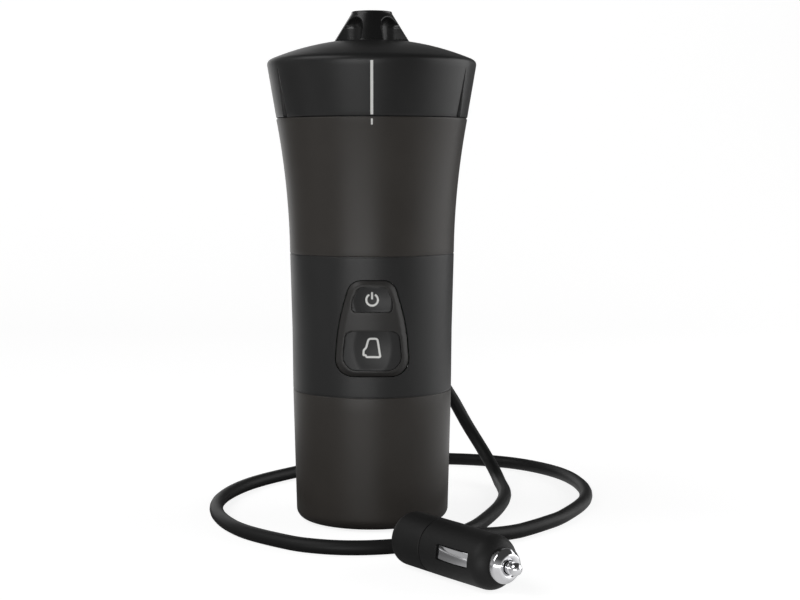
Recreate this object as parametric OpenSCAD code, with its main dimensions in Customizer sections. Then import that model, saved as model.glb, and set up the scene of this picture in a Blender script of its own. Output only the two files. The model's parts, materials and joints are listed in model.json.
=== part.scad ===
// Car coffee maker: a tapered machine that heats one cup of water on 12 V and
// presses it through a pod while it is held upside down over a mug.
// Millimetres, Z up, the front faces -Y, the floor is z = 0.

/* [Housing] */
// Wall of the three housing shells
wall = 2; // [1.8:0.1:2.2]
// Height of the seam over the lower shell
low_h = 57.5; // [55:0.5:62]
// Height of the middle band with the buttons
band_h = 58.9; // [57:0.1:63]
// Height of the upper shell round the tank
upper_h = 57.9; // [54:0.1:62]
// Radius of the lower shell above its bottom corner
base_r = 33.2; // [32.6:0.1:34]
// Radius at the lower seam
seam_r = 34.5; // [34.2:0.1:35]
// Radius at the upper seam
waist_r = 35.6; // [35.2:0.1:36.4]
// Radius of the upper shell under the lid
neck_r = 41.2; // [41:0.1:42]

/* [Lid and spout] */
// Largest radius of the lid, at its shoulder
lid_r = 45; // [44:0.25:47]
// Radius of the sphere that the lid's dome is part of
dome_r = 112; // [100:1:130]
// Height of the spout over its seat
spout_h = 14; // [13:0.5:16]
// Bore of the spout's outlet
outlet_d = 8; // [6:0.5:9]
// Rise of the lid in one turn
lid_lead = 24; // [21:1:30]

/* [Brewing] */
// Inner radius of the water tank
tank_r = 29; // [27:0.25:31]
// Pod that the basket holds
pod_d = 44; // [38:1:48]
// Holes in the basket's floor
basket_hole = 2; // [1.2:0.2:2.6]

/* [Buttons] */
// Travel of both buttons
press = 0.9; // [0.5:0.1:1]
// Gap round the buttons and the bezel
key_gap = 0.25; // [0.2:0.05:0.35]

/* [Cord and plug] */
// Outside diameter of the cord
cord_d = 6; // [5:0.2:6.6]
// Barrel of the 12 V plug
plug_d = 21; // [20.6:0.1:21.2]
// Travel of the plug's tip
tip_travel = 3; // [2:0.25:3.5]

/* [Hidden] */
$fn = 96;
gap = 0.3;
foot_r = 27;
foot_h = 1.6;
z0 = 0.6;
seam = 0.2;
z1 = low_h;
z2 = z1 + band_h;
z3 = z2 + upper_h;
zm = z1 + band_h * 0.44;
mid_r = seam_r + (waist_r - seam_r) * 0.22;
floor_t = 2.6;
sag = 1.25;
tank_z = z2 + 8;
tank_w = 0.8;
heat_z = tank_z - 5.6;
shelf_z = z3 - 2.3;
air = [9, 6];
tube_r = 2.9;
nip_r = 1.9;
skirt_r = min(neck_r - 1.6, lid_r - 2.2);
collar_r = skirt_r - 3;
sleeve_r = collar_r + 0.5;
rib_r = skirt_r - 1.1;
flange_r = min(neck_r - wall - gap, rib_r + 0.4);
basket_r = collar_r - 2;
mouth_r = collar_r - 7.6;
screw_r = mouth_r + 3.9;
heat_r = tank_r - 9;
filter_r = 24;
rim_z = z3 + 13.7;
basket_z = z3 + 2.2;
plate_z = z3 + 17.7;
rib_h = 2.4;
rib_z = z3 + 8.2;
cone_h = 22.7;
dome_z = z3 + 26.05 - sqrt(dome_r * dome_r - pow(lid_r - 3.4, 2));
seat_r = 16.5;
seat_z = dome_z + sqrt(dome_r * dome_r - seat_r * seat_r) - 1.1;
cord_r = cord_d / 2;
gland_z = z1 + 12.5;
cradle_z = 10;
motor_z = 12.5;
head_z = z1 - 19.5;
valve_z = z2 - 34;
board_y = -17;
bz = z1 - 57.5;
panel = [[-8.2, 73.9 + bz, 7.4], [8.2, 73.9 + bz, 7.4], [4.9, 102.2 + bz, 4.9], [-4.9, 102.2 + bz, 4.9]];
power = [[-6.4, 95.6 + bz, 2.2], [6.4, 95.6 + bz, 2.2], [4, 102.2 + bz, 2.4], [-4, 102.2 + bz, 2.4]];
brew = [[-6.4, 75.7 + bz, 6], [6.4, 75.7 + bz, 6], [6.7, 84.7 + bz, 2], [-6.7, 84.7 + bz, 2]];
posts = [[-14.6, 69.5 + bz], [14.6, 69.5 + bz], [9.2, 105.2 + bz], [-9.2, 105.2 + bz]];
power_z = 98.5 + bz;
brew_z = 78 + bz;
plug_r = plug_d / 2;
plug_at = [47, -131.3, plug_r];
plug_yaw = -54.8;
plug_roll = -7.8;
nut_r = 6.55;
nut_h = 4.6;
shank_r = 4.2;
pin_r = 2.4;
ball_x = 7.4;
chamber_r = 3.4;
nose_r = plug_r - 0.2;
nose_round = 6.3;
slot_x = [-26.8, -7.9];
slot_w = 5.8;
slot_deep = 5.2;
strip = 0.9;
bow_r = 20;
land_x = -28;
seam_x = -36.9;
cap_x = -56.3;
cap_round = 3.5;
boot_x = -49;
boot_yaw = 108.4;
boot_dip = 4.4;

route = [
  [0, 28, gland_z], [0, 42, gland_z], [0, 57, gland_z], [5, 71, gland_z - 1], [16, 85, gland_z - 6],
  [29, 93, 54], [39, 95, 40], [47, 93, 26], [54, 86, 15], [59, 74, 7], [61, 60, 3], [61, 32, 3],
  [56, 4, 3], [47, -25, 3], [41, -39, 3], [33, -52, 3], [21, -63, 3], [7, -70, 3], [-8, -72, 3],
  [-22, -69, 3], [-35, -61, 3], [-55, -39, 3], [-67, -9, 3], [-69, 23, 3], [-60, 56, 3], [-42, 84, 3],
  [-18, 109, 3], [13, 123, 3], [45, 123, 3], [73, 110, 3], [92, 84, 3], [99, 51, 3], [96, 18, 3],
  [83, -14, 3], [73, -29, 3], [62, -42, 3], [51, -53, 4], [40, -63, 6], [30, -76, 9], [23, -86, 10]
];
rings = 80;
sides = 10;

// Shared functions

function mix(a, b, t) = a + (b - a) * t;
function arc(cx, cy, r, a0, a1, n) = [
  for (i = [0 : n]) [cx + r * cos(mix(a0, a1, i / n)), cy + r * sin(mix(a0, a1, i / n))]
];
function band_at(z) = z < zm
  ? mix(seam_r, mid_r, (z - z1) / (zm - z1))
  : mix(mid_r, waist_r, (z - zm) / (z2 - zm));
function upper_at(t) = mix(waist_r, neck_r, t) - 4 * sag * t * (1 - t);
function dome_at(r) = dome_z + sqrt(dome_r * dome_r - r * r);
function under_dome(r) = dome_z + sqrt(pow(dome_r - 2.4, 2) - r * r);

// Outline round circles [x, y, r] given counter-clockwise, grown by g
function edge_angle(a, b) =
  atan2(b[1] - a[1], b[0] - a[0]) - acos((a[2] - b[2]) / norm([b[0] - a[0], b[1] - a[1]]));
function turn(a, b) = b < a ? b + 360 : b;
function outline(c, g) = [
  for (i = [0 : 3])
    let (a = edge_angle(c[(i + 3) % 4], c[i]))
    let (b = turn(a, edge_angle(c[i], c[(i + 1) % 4])))
    for (k = [0 : 6])
      [
        c[i][0] + (c[i][2] + g) * cos(mix(a, b, k / 6)),
        c[i][1] + (c[i][2] + g) * sin(mix(a, b, k / 6))
      ]
];

// The cord's centre line through the route points
function route_at(i) = i < 0
  ? 2 * route[0] - route[1]
  : i > len(route) - 1
    ? 2 * route[len(route) - 1] - route[len(route) - 2]
    : route[i];
function blend(a, b, c, d, t) =
  0.5 * (2 * b + (c - a) * t + (2 * a - 5 * b + 4 * c - d) * t * t + (3 * b - a - 3 * c + d) * t * t * t);
function line_at(u) =
  let (i = min(floor(u), len(route) - 2))
  let (p = blend(route_at(i - 1), route_at(i), route_at(i + 1), route_at(i + 2), u - i))
  [p[0], p[1], max(p[2], cord_r)];
function unit(v) = v / norm(v);

// Shared shapes

module prism(c, g, from, to) {
  translate([0, from, 0])
    rotate([90, 0, 0])
      linear_extrude(from - to)
        polygon(outline(c, g));
}

module band_ring(g0, g1) {
  rotate_extrude()
    polygon([
      [band_at(z1 + seam) + g0, z1 + seam],
      [band_at(z1 + seam) + g1, z1 + seam],
      [mid_r + g1, zm],
      [waist_r + g1, z2 - seam],
      [waist_r + g0, z2 - seam],
      [mid_r + g0, zm]
    ]);
}

module at_plug(roll = 0) {
  translate(plug_at)
    rotate([roll, 0, plug_yaw])
      children();
}

module along(x0, x1, r) {
  translate([x0, 0, 0])
    rotate([0, 90, 0])
      cylinder(h = x1 - x0, r = r);
}

module inward(x, z, y0, y1, r) {
  translate([x, y0, z])
    rotate([-90, 0, 0])
      cylinder(h = y1 - y0, r = r);
}

module helix(r0, r1, h, a0, a1, n) {
  p = [
    for (i = [0 : n])
      let (a = mix(a0, a1, i / n))
      let (z = lid_lead * a / 360)
      each [
        [r0 * cos(a), r0 * sin(a), z],
        [r1 * cos(a), r1 * sin(a), z],
        [r1 * cos(a), r1 * sin(a), z + h],
        [r0 * cos(a), r0 * sin(a), z + h]
      ]
  ];
  f = [
    for (i = [0 : n - 1])
      for (k = [0 : 3])
        each [
          [4 * i + k, 4 * i + (k + 1) % 4, 4 * i + 4 + k],
          [4 * i + (k + 1) % 4, 4 * i + 4 + (k + 1) % 4, 4 * i + 4 + k]
        ]
  ];
  polyhedron(concat(p), concat(f, [[3, 2, 1, 0], [4 * n, 4 * n + 1, 4 * n + 2, 4 * n + 3]]));
}

module three(r, from = 0) {
  for (i = [0 : 2])
    rotate([0, 0, from + 120 * i])
      translate([r, 0, 0])
        children();
}

module four(r) {
  for (i = [0 : 3])
    rotate([0, 0, 45 + 90 * i])
      translate([r, 0, 0])
        children();
}

module sieve(r, spacing, d, z, h) {
  for (i = [-4 : 4])
    for (j = [-4 : 4])
      if (norm([spacing * (i + j / 2), spacing * j * 0.866]) < r)
        translate([spacing * (i + j / 2), spacing * j * 0.866, z])
          cylinder(h = h, r = d / 2);
}

// Housing

module lower_shell() {
  color([0.20, 0.185, 0.17])
    difference() {
      union() {
        rotate_extrude()
          polygon(concat(
            [[0, z0 + 1], [foot_r + 0.2, z0 + 1], [foot_r + 0.2, z0]],
            arc(base_r - 4.4, z0 + 4.4, 4.4, -90, 0, 8),
            [
              [seam_r, z1 - seam],
              [seam_r - wall, z1 - seam],
              [base_r - wall, z0 + 6],
              [base_r - wall - 3.4, z0 + floor_t],
              [0, z0 + floor_t]
            ]
          ));
        three(20)
          translate([0, 0, z0 + floor_t - 0.5])
            cylinder(h = cradle_z - z0 - floor_t + 0.5, r = 4);
        three(seam_r - wall - 2.6, 60)
          translate([0, 0, z1 - 16])
            cylinder(h = 16 - 2 - seam, r = 3);
      }
      three(20)
        cylinder(h = 6, r = 2.6);
      three(20)
        cylinder(h = 12, r = 1.4);
      three(seam_r - wall - 2.6, 60)
        translate([0, 0, z1 - 12])
          cylinder(h = 14, r = 1.15);
    }
}

module foot_pad() {
  color([0.05, 0.05, 0.05])
    cylinder(h = foot_h, r = foot_r);
}

module base_screws() {
  color([0.55, 0.55, 0.56])
    three(20) {
      translate([0, 0, 4.2])
        cylinder(h = 1.8, r = 2.4);
      translate([0, 0, 6])
        cylinder(h = 9, r = 1.3);
    }
}

module middle_band() {
  color([0.16, 0.16, 0.16])
    difference() {
      band_ring(-wall, 0);
      prism(panel, 0, -20, -60);
      inward(0, gland_z, 20, 60, 5);
    }
}

module upper_shell() {
  color([0.20, 0.185, 0.17])
    difference() {
      rotate_extrude()
        polygon(concat(
          [for (i = [0 : 10]) [upper_at(i / 10), mix(z2 + seam, z3 - gap, i / 10)]],
          [
            [neck_r - wall, z3 - gap],
            [neck_r - wall, shelf_z],
            [mouth_r + 2.6, shelf_z],
            [mouth_r + 2.6, shelf_z - 1],
            [mouth_r + 1.3, shelf_z - 1],
            [mouth_r + 1.3, shelf_z - 4],
            [upper_at(0.88) - wall, shelf_z - 4]
          ],
          [for (i = [8 : -1 : 0]) [upper_at(i / 10) - wall, mix(z2 + seam, z3 - gap, i / 10)]]
        ));
      four(screw_r)
        translate([0, 0, shelf_z - 5])
          cylinder(h = 6, r = 1.25);
    }
}

module chassis() {
  color([0.13, 0.13, 0.13])
    difference() {
      union() {
        translate([0, 0, z1 - seam - 2])
          cylinder(h = 2, r = seam_r - wall - gap);
        translate([0, 0, z1 - seam])
          cylinder(h = 2 * seam, r = seam_r - 0.7);
      }
      translate([air[0], air[1], z1 - 4])
        cylinder(h = 6, r = tube_r + 0.6);
      translate([-12, 4, z1 - 4])
        cylinder(h = 6, r = 4);
      three(seam_r - wall - 2.6, 60)
        translate([0, 0, z1 - 4])
          cylinder(h = 6, r = 1.4);
    }
}

module chassis_screws() {
  color([0.55, 0.55, 0.56])
    three(seam_r - wall - 2.6, 60) {
      translate([0, 0, z1 + seam])
        cylinder(h = 1.6, r = 2.2);
      translate([0, 0, z1 - 11])
        cylinder(h = 11 + seam, r = 1.1);
    }
}

module heat_shield() {
  color([0.42, 0.40, 0.36])
    difference() {
      union() {
        translate([0, 0, z2 - seam - 2])
          cylinder(h = 2, r = waist_r - wall - gap);
        translate([0, 0, z2 - seam])
          cylinder(h = 2 * seam, r = waist_r - 0.7);
      }
      translate([air[0], air[1], z2 - 4])
        cylinder(h = 6, r = tube_r + 0.6);
      translate([-9, -4, z2 - 4])
        cylinder(h = 6, r = 7.2);
      translate([-10, 8.6, z2 - 4])
        cube([16, 6.8, 6]);
      for (a = [255, 285])
        rotate([0, 0, a])
          translate([heat_r, 0, z2 - 4])
            cylinder(h = 6, r = 2.4);
    }
}

// Front panel

module control_bezel() {
  color([0.25, 0.235, 0.22])
    difference() {
      union() {
        intersection() {
          prism(panel, -key_gap, -20, -60);
          band_ring(-wall - 0.5, 0.8);
        }
        intersection() {
          prism(panel, 2.4, -20, -60);
          band_ring(-wall - 1.7, -wall - 0.1);
        }
        intersection() {
          for (p = posts)
            inward(p[0], p[1], -32, board_y, 1.8);
          translate([0, 0, z1])
            cylinder(h = band_h, r = mid_r - wall - 0.9);
        }
      }
      prism(power, key_gap, -20, -60);
      prism(brew, key_gap, -20, -60);
      for (p = posts)
        inward(p[0], p[1], -24, -10, 0.95);
    }
}

module button(c, z, dish) {
  difference() {
    union() {
      intersection() {
        prism(c, 0, -20, -60);
        band_ring(-wall - 3, -0.2);
      }
      intersection() {
        prism(c, 1.2, -20, -60);
        band_ring(-wall - 3, -wall - 2);
      }
      inward(0, z, -mid_r + wall + 2.2, -21.4 - press, 2.2);
    }
    translate([0, -mid_r + 1.1 - dish, z])
      sphere(r = dish);
  }
}

module power_button() {
  color([0.07, 0.07, 0.07])
    button(power, power_z, 26);
}

module brew_button() {
  color([0.07, 0.07, 0.07])
    button(brew, brew_z, 40);
}

module control_board() {
  color([0.08, 0.24, 0.14])
    difference() {
      union() {
        translate([-18, board_y, 66 + bz])
          cube([36, 1.6, 43]);
        for (z = [power_z, brew_z]) {
          translate([-3, board_y - 3.2, z - 3])
            cube([6, 3.4, 6]);
          inward(0, z, board_y - 4.2, board_y - 3, 1.7);
        }
      }
      for (p = posts)
        inward(p[0], p[1], -20, -10, 1);
    }
}

module board_parts() {
  color([0.12, 0.16, 0.30])
    translate([0, board_y + 1.6, bz]) {
      translate([-13, 0, 74])
        cube([15, 9, 19]);
      inward(9, 78, 0, 10, 4);
      inward(9, 88, 0, 10, 4);
      translate([-7, 0, 97])
        cube([14, 6, 5]);
      translate([2, 0, 69])
        cube([9, 4.5, 3.5]);
    }
}

module board_screws() {
  color([0.55, 0.55, 0.56])
    for (p = posts) {
      inward(p[0], p[1], board_y + 1.6, board_y + 3, 1.9);
      inward(p[0], p[1], board_y - 5, board_y + 1.6, 0.9);
    }
}

// Pump and air line

module pump_cradle() {
  color([0.30, 0.30, 0.31])
    difference() {
      union() {
        translate([0, 0, cradle_z])
          cylinder(h = motor_z - cradle_z, r = 25);
        translate([0, 0, motor_z])
          cylinder(h = 15, r = 14.2);
        three(20)
          translate([0, 0, cradle_z])
            cylinder(h = 6.5, r = 3.6);
      }
      translate([0, 0, motor_z])
        cylinder(h = 20, r = 12.1);
      translate([0, 0, cradle_z - 1])
        cylinder(h = 6, r = 8.2);
      three(20)
        translate([0, 0, cradle_z - 1])
          cylinder(h = 9, r = 1.35);
    }
}

module pump_motor() {
  color([0.62, 0.62, 0.63]) {
    translate([0, 0, motor_z])
      cylinder(h = head_z - motor_z, r = 12);
    translate([0, 0, motor_z - 3])
      cylinder(h = 3.5, r = 7.8);
    translate([0, 0, head_z - 1])
      cylinder(h = 7, r = 1);
    for (x = [-5, 4])
      translate([x, -1.5, motor_z - 6])
        cube([1, 3, 4]);
  }
}

module pump_head() {
  color([0.10, 0.10, 0.11])
    difference() {
      union() {
        translate([0, 0, head_z])
          cylinder(h = 10, r = 14);
        translate([0, 0, head_z + 9.5])
          cylinder(h = 4.5, r = 13);
        translate([air[0], air[1], head_z + 13])
          cylinder(h = 9, r = nip_r);
      }
      translate([0, 0, head_z - 1])
        cylinder(h = 8, r = 1.1);
      translate([air[0], air[1], head_z + 11])
        cylinder(h = 12, r = 1.1);
    }
}

module tube(z, h) {
  translate([air[0], air[1], z])
    difference() {
      cylinder(h = h, r = tube_r);
      translate([0, 0, -1])
        cylinder(h = h + 2, r = nip_r);
    }
}

module air_tube_low() {
  color([0.80, 0.78, 0.72])
    tube(head_z + 14, valve_z - head_z - 14);
}

module check_valve() {
  color([0.30, 0.32, 0.34])
    translate([air[0], air[1], valve_z])
      difference() {
        union() {
          cylinder(h = 10, r = 4.6);
          translate([0, 0, 4])
            cylinder(h = 2, r = 5.4);
          translate([0, 0, -7])
            cylinder(h = 24, r = nip_r);
        }
        translate([0, 0, -8])
          cylinder(h = 26, r = 1.1);
      }
}

module air_tube_high() {
  color([0.80, 0.78, 0.72])
    tube(valve_z + 10, heat_z - 1 - valve_z - 10);
}

// Tank and heater

module water_tank() {
  color([0.72, 0.72, 0.73])
    difference() {
      union() {
        rotate_extrude()
          polygon([
            [0, tank_z],
            [tank_r + tank_w - 2, tank_z],
            [tank_r + tank_w, tank_z + 2],
            [tank_r + tank_w, shelf_z - 9],
            [mouth_r + tank_w, shelf_z - 4.5],
            [mouth_r + tank_w, shelf_z - 1],
            [mouth_r + 2.4, shelf_z - 1],
            [mouth_r + 2.4, shelf_z],
            [mouth_r, shelf_z],
            [mouth_r, shelf_z - 4.8],
            [tank_r, shelf_z - 9.3],
            [tank_r, tank_z + 2.6],
            [tank_r - 1.6, tank_z + 1],
            [0, tank_z + 1]
          ]);
        translate([air[0], air[1], heat_z - 7])
          cylinder(h = 14.5, r = nip_r);
      }
      translate([air[0], air[1], heat_z - 8])
        cylinder(h = 20, r = 1.1);
    }
}

module heater_plate() {
  color([0.52, 0.50, 0.47])
    difference() {
      union() {
        translate([0, 0, heat_z])
          cylinder(h = tank_z - heat_z, r = tank_r - 4);
        translate([0, 0, heat_z])
          rotate_extrude()
            translate([heat_r, 0])
              circle(r = 2.2);
        for (a = [255, 285])
          rotate([0, 0, a])
            translate([heat_r, 0, heat_z - 12])
              cylinder(h = 13, r = 1.4);
      }
      translate([air[0], air[1], heat_z - 1])
        cylinder(h = 8, r = 3.2);
    }
}

module thermostat() {
  color([0.10, 0.10, 0.10])
    translate([-9, -4, heat_z - 6]) {
      cylinder(h = 6, r = 6.4);
      translate([-4.6, -1.5, -4])
        cube([0.8, 3, 5]);
      translate([3.8, -1.5, -4])
        cube([0.8, 3, 5]);
    }
}

module thermal_fuse() {
  color([0.70, 0.66, 0.52])
    translate([-8, 12, heat_z - 2]) {
      along(0, 12, 2);
      along(-1, 13, 0.6);
    }
}

module tank_seal() {
  color([0.62, 0.16, 0.10])
    translate([0, 0, shelf_z])
      difference() {
        cylinder(h = 1, r = mouth_r + 2.15);
        translate([0, 0, -1])
          cylinder(h = 3, r = mouth_r + 0.45);
      }
}

// Neck and basket

module neck_collar() {
  color([0.11, 0.11, 0.11])
    difference() {
      union() {
        translate([0, 0, shelf_z])
          cylinder(h = 2, r = flange_r);
        translate([0, 0, shelf_z])
          cylinder(h = rim_z - shelf_z, r = collar_r);
      }
      translate([0, 0, shelf_z + 2])
        cylinder(h = 30, r = collar_r - 1.6);
      translate([0, 0, shelf_z - 1])
        cylinder(h = 9, r = mouth_r);
      translate([0, 0, shelf_z - 1])
        difference() {
          cylinder(h = 2, r = mouth_r + 2.2);
          cylinder(h = 5, r = mouth_r + 0.4);
        }
      four(screw_r)
        translate([0, 0, shelf_z - 1])
          cylinder(h = 5, r = 1.3);
    }
}

module collar_ribs() {
  color([0.11, 0.11, 0.11]) {
    translate([0, 0, z3 + 1])
      rotate([0, 0, 2.5])
        difference() {
          cylinder(h = rim_z - z3 - 1, r = sleeve_r, $fn = 72);
          translate([0, 0, -1])
            cylinder(h = 40, r = collar_r + 0.1, $fn = 72);
        }
    for (i = [0 : 2])
      translate([0, 0, rib_z])
        rotate([0, 0, 90 + 120 * i])
          helix(sleeve_r - 0.2, rib_r, rib_h, -35, 35, 14);
  }
}

module collar_screws() {
  color([0.55, 0.55, 0.56])
    four(screw_r) {
      translate([0, 0, shelf_z + 2])
        cylinder(h = 1.2, r = 1.9);
      translate([0, 0, shelf_z - 3.7])
        cylinder(h = 5.8, r = 1.2);
    }
}

module pod_basket() {
  color([0.66, 0.66, 0.67])
    difference() {
      union() {
        translate([0, 0, basket_z])
          cylinder(h = rim_z + 1.3 - basket_z, r = basket_r);
        translate([0, 0, rim_z])
          cylinder(h = 1.3, r = collar_r - 0.2);
      }
      translate([0, 0, basket_z + 1.2])
        difference() {
          cylinder(h = 30, r = basket_r - 1);
          difference() {
            cylinder(h = 6, r = pod_d / 2 + 2);
            translate([0, 0, -1])
              cylinder(h = 8, r = pod_d / 2 + 0.6);
          }
        }
      sieve(pod_d / 2 - 3, 5.4, basket_hole, basket_z - 1, 4);
    }
}

module coffee_pod() {
  color([0.86, 0.82, 0.74])
    translate([0, 0, basket_z + 1.2])
      rotate_extrude()
        polygon([
          [0, 0],
          [pod_d / 2 - 4, 0],
          [pod_d / 2 - 1.5, 2],
          [pod_d / 2, 3.2],
          [pod_d / 2, 3.8],
          [pod_d / 2 - 1.5, 5],
          [pod_d / 2 - 4, 7],
          [0, 7.6]
        ]);
}

// Lid

module pressure_plate() {
  color([0.13, 0.13, 0.13])
    difference() {
      union() {
        translate([0, 0, plate_z])
          cylinder(h = 3, r = skirt_r - 0.5);
        translate([0, 0, plate_z])
          cylinder(h = seat_z - plate_z + 0.4, r = outlet_d / 2 + 2);
      }
      translate([0, 0, plate_z - 1])
        cylinder(h = 40, r = outlet_d / 2);
      translate([0, 0, plate_z - 1])
        cylinder(h = 2, r = filter_r - 1.5);
    }
}

module brew_filter() {
  color([0.70, 0.70, 0.71])
    difference() {
      translate([0, 0, plate_z - 0.8])
        cylinder(h = 0.8, r = filter_r);
      sieve(filter_r - 5.5, 5.4, 1.4, plate_z - 2, 4);
    }
}

module lid_gasket() {
  color([0.62, 0.16, 0.10])
    translate([0, 0, rim_z + 1.5])
      difference() {
        cylinder(h = plate_z - rim_z - 1.5, r = collar_r - 0.5);
        translate([0, 0, -1])
          cylinder(h = 9, r = basket_r - 0.7);
      }
}

module lid_shell() {
  slope = atan((lid_r - neck_r) / cone_h);
  color([0.05, 0.05, 0.05])
    difference() {
      union() {
        rotate_extrude()
          polygon(concat(
            [
              [neck_r, z3 + gap],
              [lid_r, z3 + cone_h],
              [lid_r - 0.05, z3 + cone_h + 0.9],
              [lid_r - 0.35, z3 + cone_h + 1.6],
              [lid_r - 0.9, z3 + cone_h + 2.15],
              [lid_r - 1.9, z3 + cone_h + 2.75]
            ],
            [for (i = [0 : 7]) let (r = mix(lid_r - 3.4, seat_r, i / 7)) [r, dome_at(r)]],
            [
              [seat_r, seat_z],
              [11, seat_z],
              [11, seat_z - 2.8],
              [seat_r + 2.5, seat_z - 2.8]
            ],
            [for (i = [0 : 5]) let (r = mix(seat_r + 2.5, skirt_r, i / 5)) [r, under_dome(r)]],
            [[skirt_r, z3 + gap]]
          ));
        translate([0, 0, plate_z + 3.3])
          difference() {
            cylinder(h = under_dome(skirt_r - 8.6) - plate_z - 2.6, r = skirt_r - 8);
            translate([0, 0, -1])
              cylinder(h = 20, r = skirt_r - 9.6);
          }
      }
      for (a = [24, 156, 204, 336])
        rotate([0, 0, a])
          translate([neck_r - 0.6, 0, z3])
            rotate([0, slope, 0])
              rotate([90, 0, 90])
                linear_extrude(6)
                  polygon([[-0.8, -1], [0.8, -1], [0.15, 21], [-0.15, 21]]);
    }
}

module lid_liner() {
  color([0.09, 0.09, 0.09]) {
    translate([0, 0, z3 + 1.5])
      rotate([0, 0, 2.5])
        difference() {
          cylinder(h = 15.9, r = skirt_r - 0.1, $fn = 72);
          translate([0, 0, -1])
            cylinder(h = 15.5, r = skirt_r - 0.7, $fn = 72);
          translate([0, 0, -1])
            cylinder(h = 40, r = collar_r, $fn = 72);
        }
    for (i = [0 : 2])
      translate([0, 0, rib_z - rib_h - gap])
        rotate([0, 0, 90 + 120 * i])
          helix(sleeve_r + 0.4, skirt_r - 0.3, rib_h, -20, 20, 8);
  }
}

module spout() {
  lean = atan((seat_r - 8.9) / (spout_h - 1.7));
  color([0.03, 0.03, 0.03])
    difference() {
      union() {
        translate([0, 0, seat_z])
          rotate_extrude()
            polygon([
              [0, 0],
              [seat_r - 0.2, 0],
              [seat_r - 0.2, 1.1],
              [8.7, spout_h - 0.7],
              [8.3, spout_h - 0.15],
              [7.6, spout_h],
              [0, spout_h]
            ]);
        translate([0, 0, seat_z - 3])
          cylinder(h = 4, r = 10.8);
      }
      translate([0, 0, seat_z - 4])
        cylinder(h = 6, r = outlet_d / 2 + 2.3);
      translate([0, 0, seat_z - 4])
        cylinder(h = 40, r = outlet_d / 2);
      for (a = [45, 135, 225, 315])
        rotate([0, 0, a])
          translate([seat_r - 0.2, 0, seat_z + 1.1])
            rotate([0, -lean, 0])
              translate([4.6, 0, 0]) {
                translate([0, 0, -4])
                  cylinder(h = 14.2, r = 6);
                translate([0, 0, 10.2])
                  sphere(r = 6);
              }
    }
}

// Cord and plug

module cord_gland() {
  y = band_at(gland_z) + 0.05;
  color([0.04, 0.04, 0.04])
    difference() {
      union() {
        inward(0, gland_z, y - 5.6, y + 1, 4.85);
        inward(0, gland_z, y - 5.6, y - 3, 7);
        inward(0, gland_z, y, y + 2, 7);
        translate([0, y + 1.8, gland_z])
          rotate([-90, 0, 0])
            cylinder(h = 20, r1 = cord_r + 2.2, r2 = cord_r + 1.1);
      }
      inward(0, gland_z, y - 9, y + 30, cord_r + 0.1);
      for (i = [0 : 3])
        translate([0, y + 5.5 + 3.6 * i, gland_z])
          rotate([-90, 0, 0])
            difference() {
              cylinder(h = 1.4, r = 9);
              translate([0, 0, -1])
                cylinder(h = 4, r = cord_r + 0.8);
            }
    }
}

module cord() {
  p = [
    for (i = [0 : rings - 1])
      let (u = i * (len(route) - 1) / (rings - 1))
      let (c = line_at(u))
      let (t = unit(line_at(min(u + 0.05, len(route) - 1)) - line_at(max(u - 0.05, 0))))
      let (s = unit([t[1], -t[0], 0]))
      let (n = cross(s, t))
      for (k = [0 : sides - 1])
        c + cord_r * (s * cos(360 * k / sides) + n * sin(360 * k / sides))
  ];
  f = [
    for (i = [0 : rings - 2])
      for (k = [0 : sides - 1])
        let (a = i * sides + k)
        let (b = i * sides + (k + 1) % sides)
        each [[a, b, a + sides], [b, b + sides, a + sides]]
  ];
  first = [for (k = [0 : sides - 1]) sides - 1 - k];
  last = [for (k = [0 : sides - 1]) (rings - 1) * sides + k];
  color([0.04, 0.04, 0.04])
    polyhedron(p, concat(f, [first, last]));
}

module plug_rear_cap() {
  color([0.05, 0.05, 0.05])
    at_plug()
      difference() {
        union() {
          rotate([0, 90, 0])
            rotate_extrude()
              polygon(concat(
                [[0, seam_x - 0.2], [plug_r - 0.4, seam_x - 0.2], [plug_r, seam_x - 0.6]],
                arc(plug_r - cap_round, cap_x + cap_round, cap_round, 0, -90, 8),
                [[0, cap_x]]
              ));
          along(seam_x - 1, seam_x + 3.4, 8);
          translate([boot_x, 0, 0])
            rotate([0, 90 + boot_dip, boot_yaw])
              cylinder(h = 20, r1 = cord_r + 3.2, r2 = cord_r + 1.2);
        }
        along(cap_x + 4, 0, chamber_r + 0.3);
        translate([boot_x, 0, 0])
          rotate([0, 90 + boot_dip, boot_yaw])
            translate([0, 0, 3])
              cylinder(h = 30, r = cord_r + gap);
      }
}

module plug_body() {
  color([0.06, 0.06, 0.06])
    at_plug(plug_roll)
      difference() {
        rotate([0, 90, 0])
          rotate_extrude()
            polygon(concat(
              [[0, seam_x + 0.2], [plug_r - 0.4, seam_x + 0.2], [plug_r, seam_x + 0.6], [plug_r, land_x]],
              arc(nose_r - nose_round, -nose_round, nose_round, 0, 90, 10),
              [[0, 0]]
            ));
        along(seam_x - 1, seam_x + 3.7, 8.2);
        along(seam_x, 1, chamber_r);
        along(-5, 1, shank_r + 0.1);
        for (a = [0, 180])
          rotate([a, 0, 0])
            translate([slot_x[0], -plug_r - 1, -slot_w / 2])
              cube([slot_x[1] - slot_x[0], plug_r + 1 - slot_deep, slot_w]);
      }
}

module plug_ring() {
  hole = pin_r + gap;
  color([0.82, 0.82, 0.83])
    at_plug()
      rotate([0, 90, 0])
        rotate_extrude()
          polygon([
            [hole, -5],
            [shank_r, -5],
            [shank_r, 0],
            [nut_r, 0],
            [nut_r, nut_h / 2 - 0.4],
            [nut_r - 0.4, nut_h / 2],
            [nut_r - 1.6, nut_h - 0.3],
            [nut_r - 1.9, nut_h],
            [hole + 1, nut_h],
            [hole, nut_h - 0.7]
          ]);
}

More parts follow.
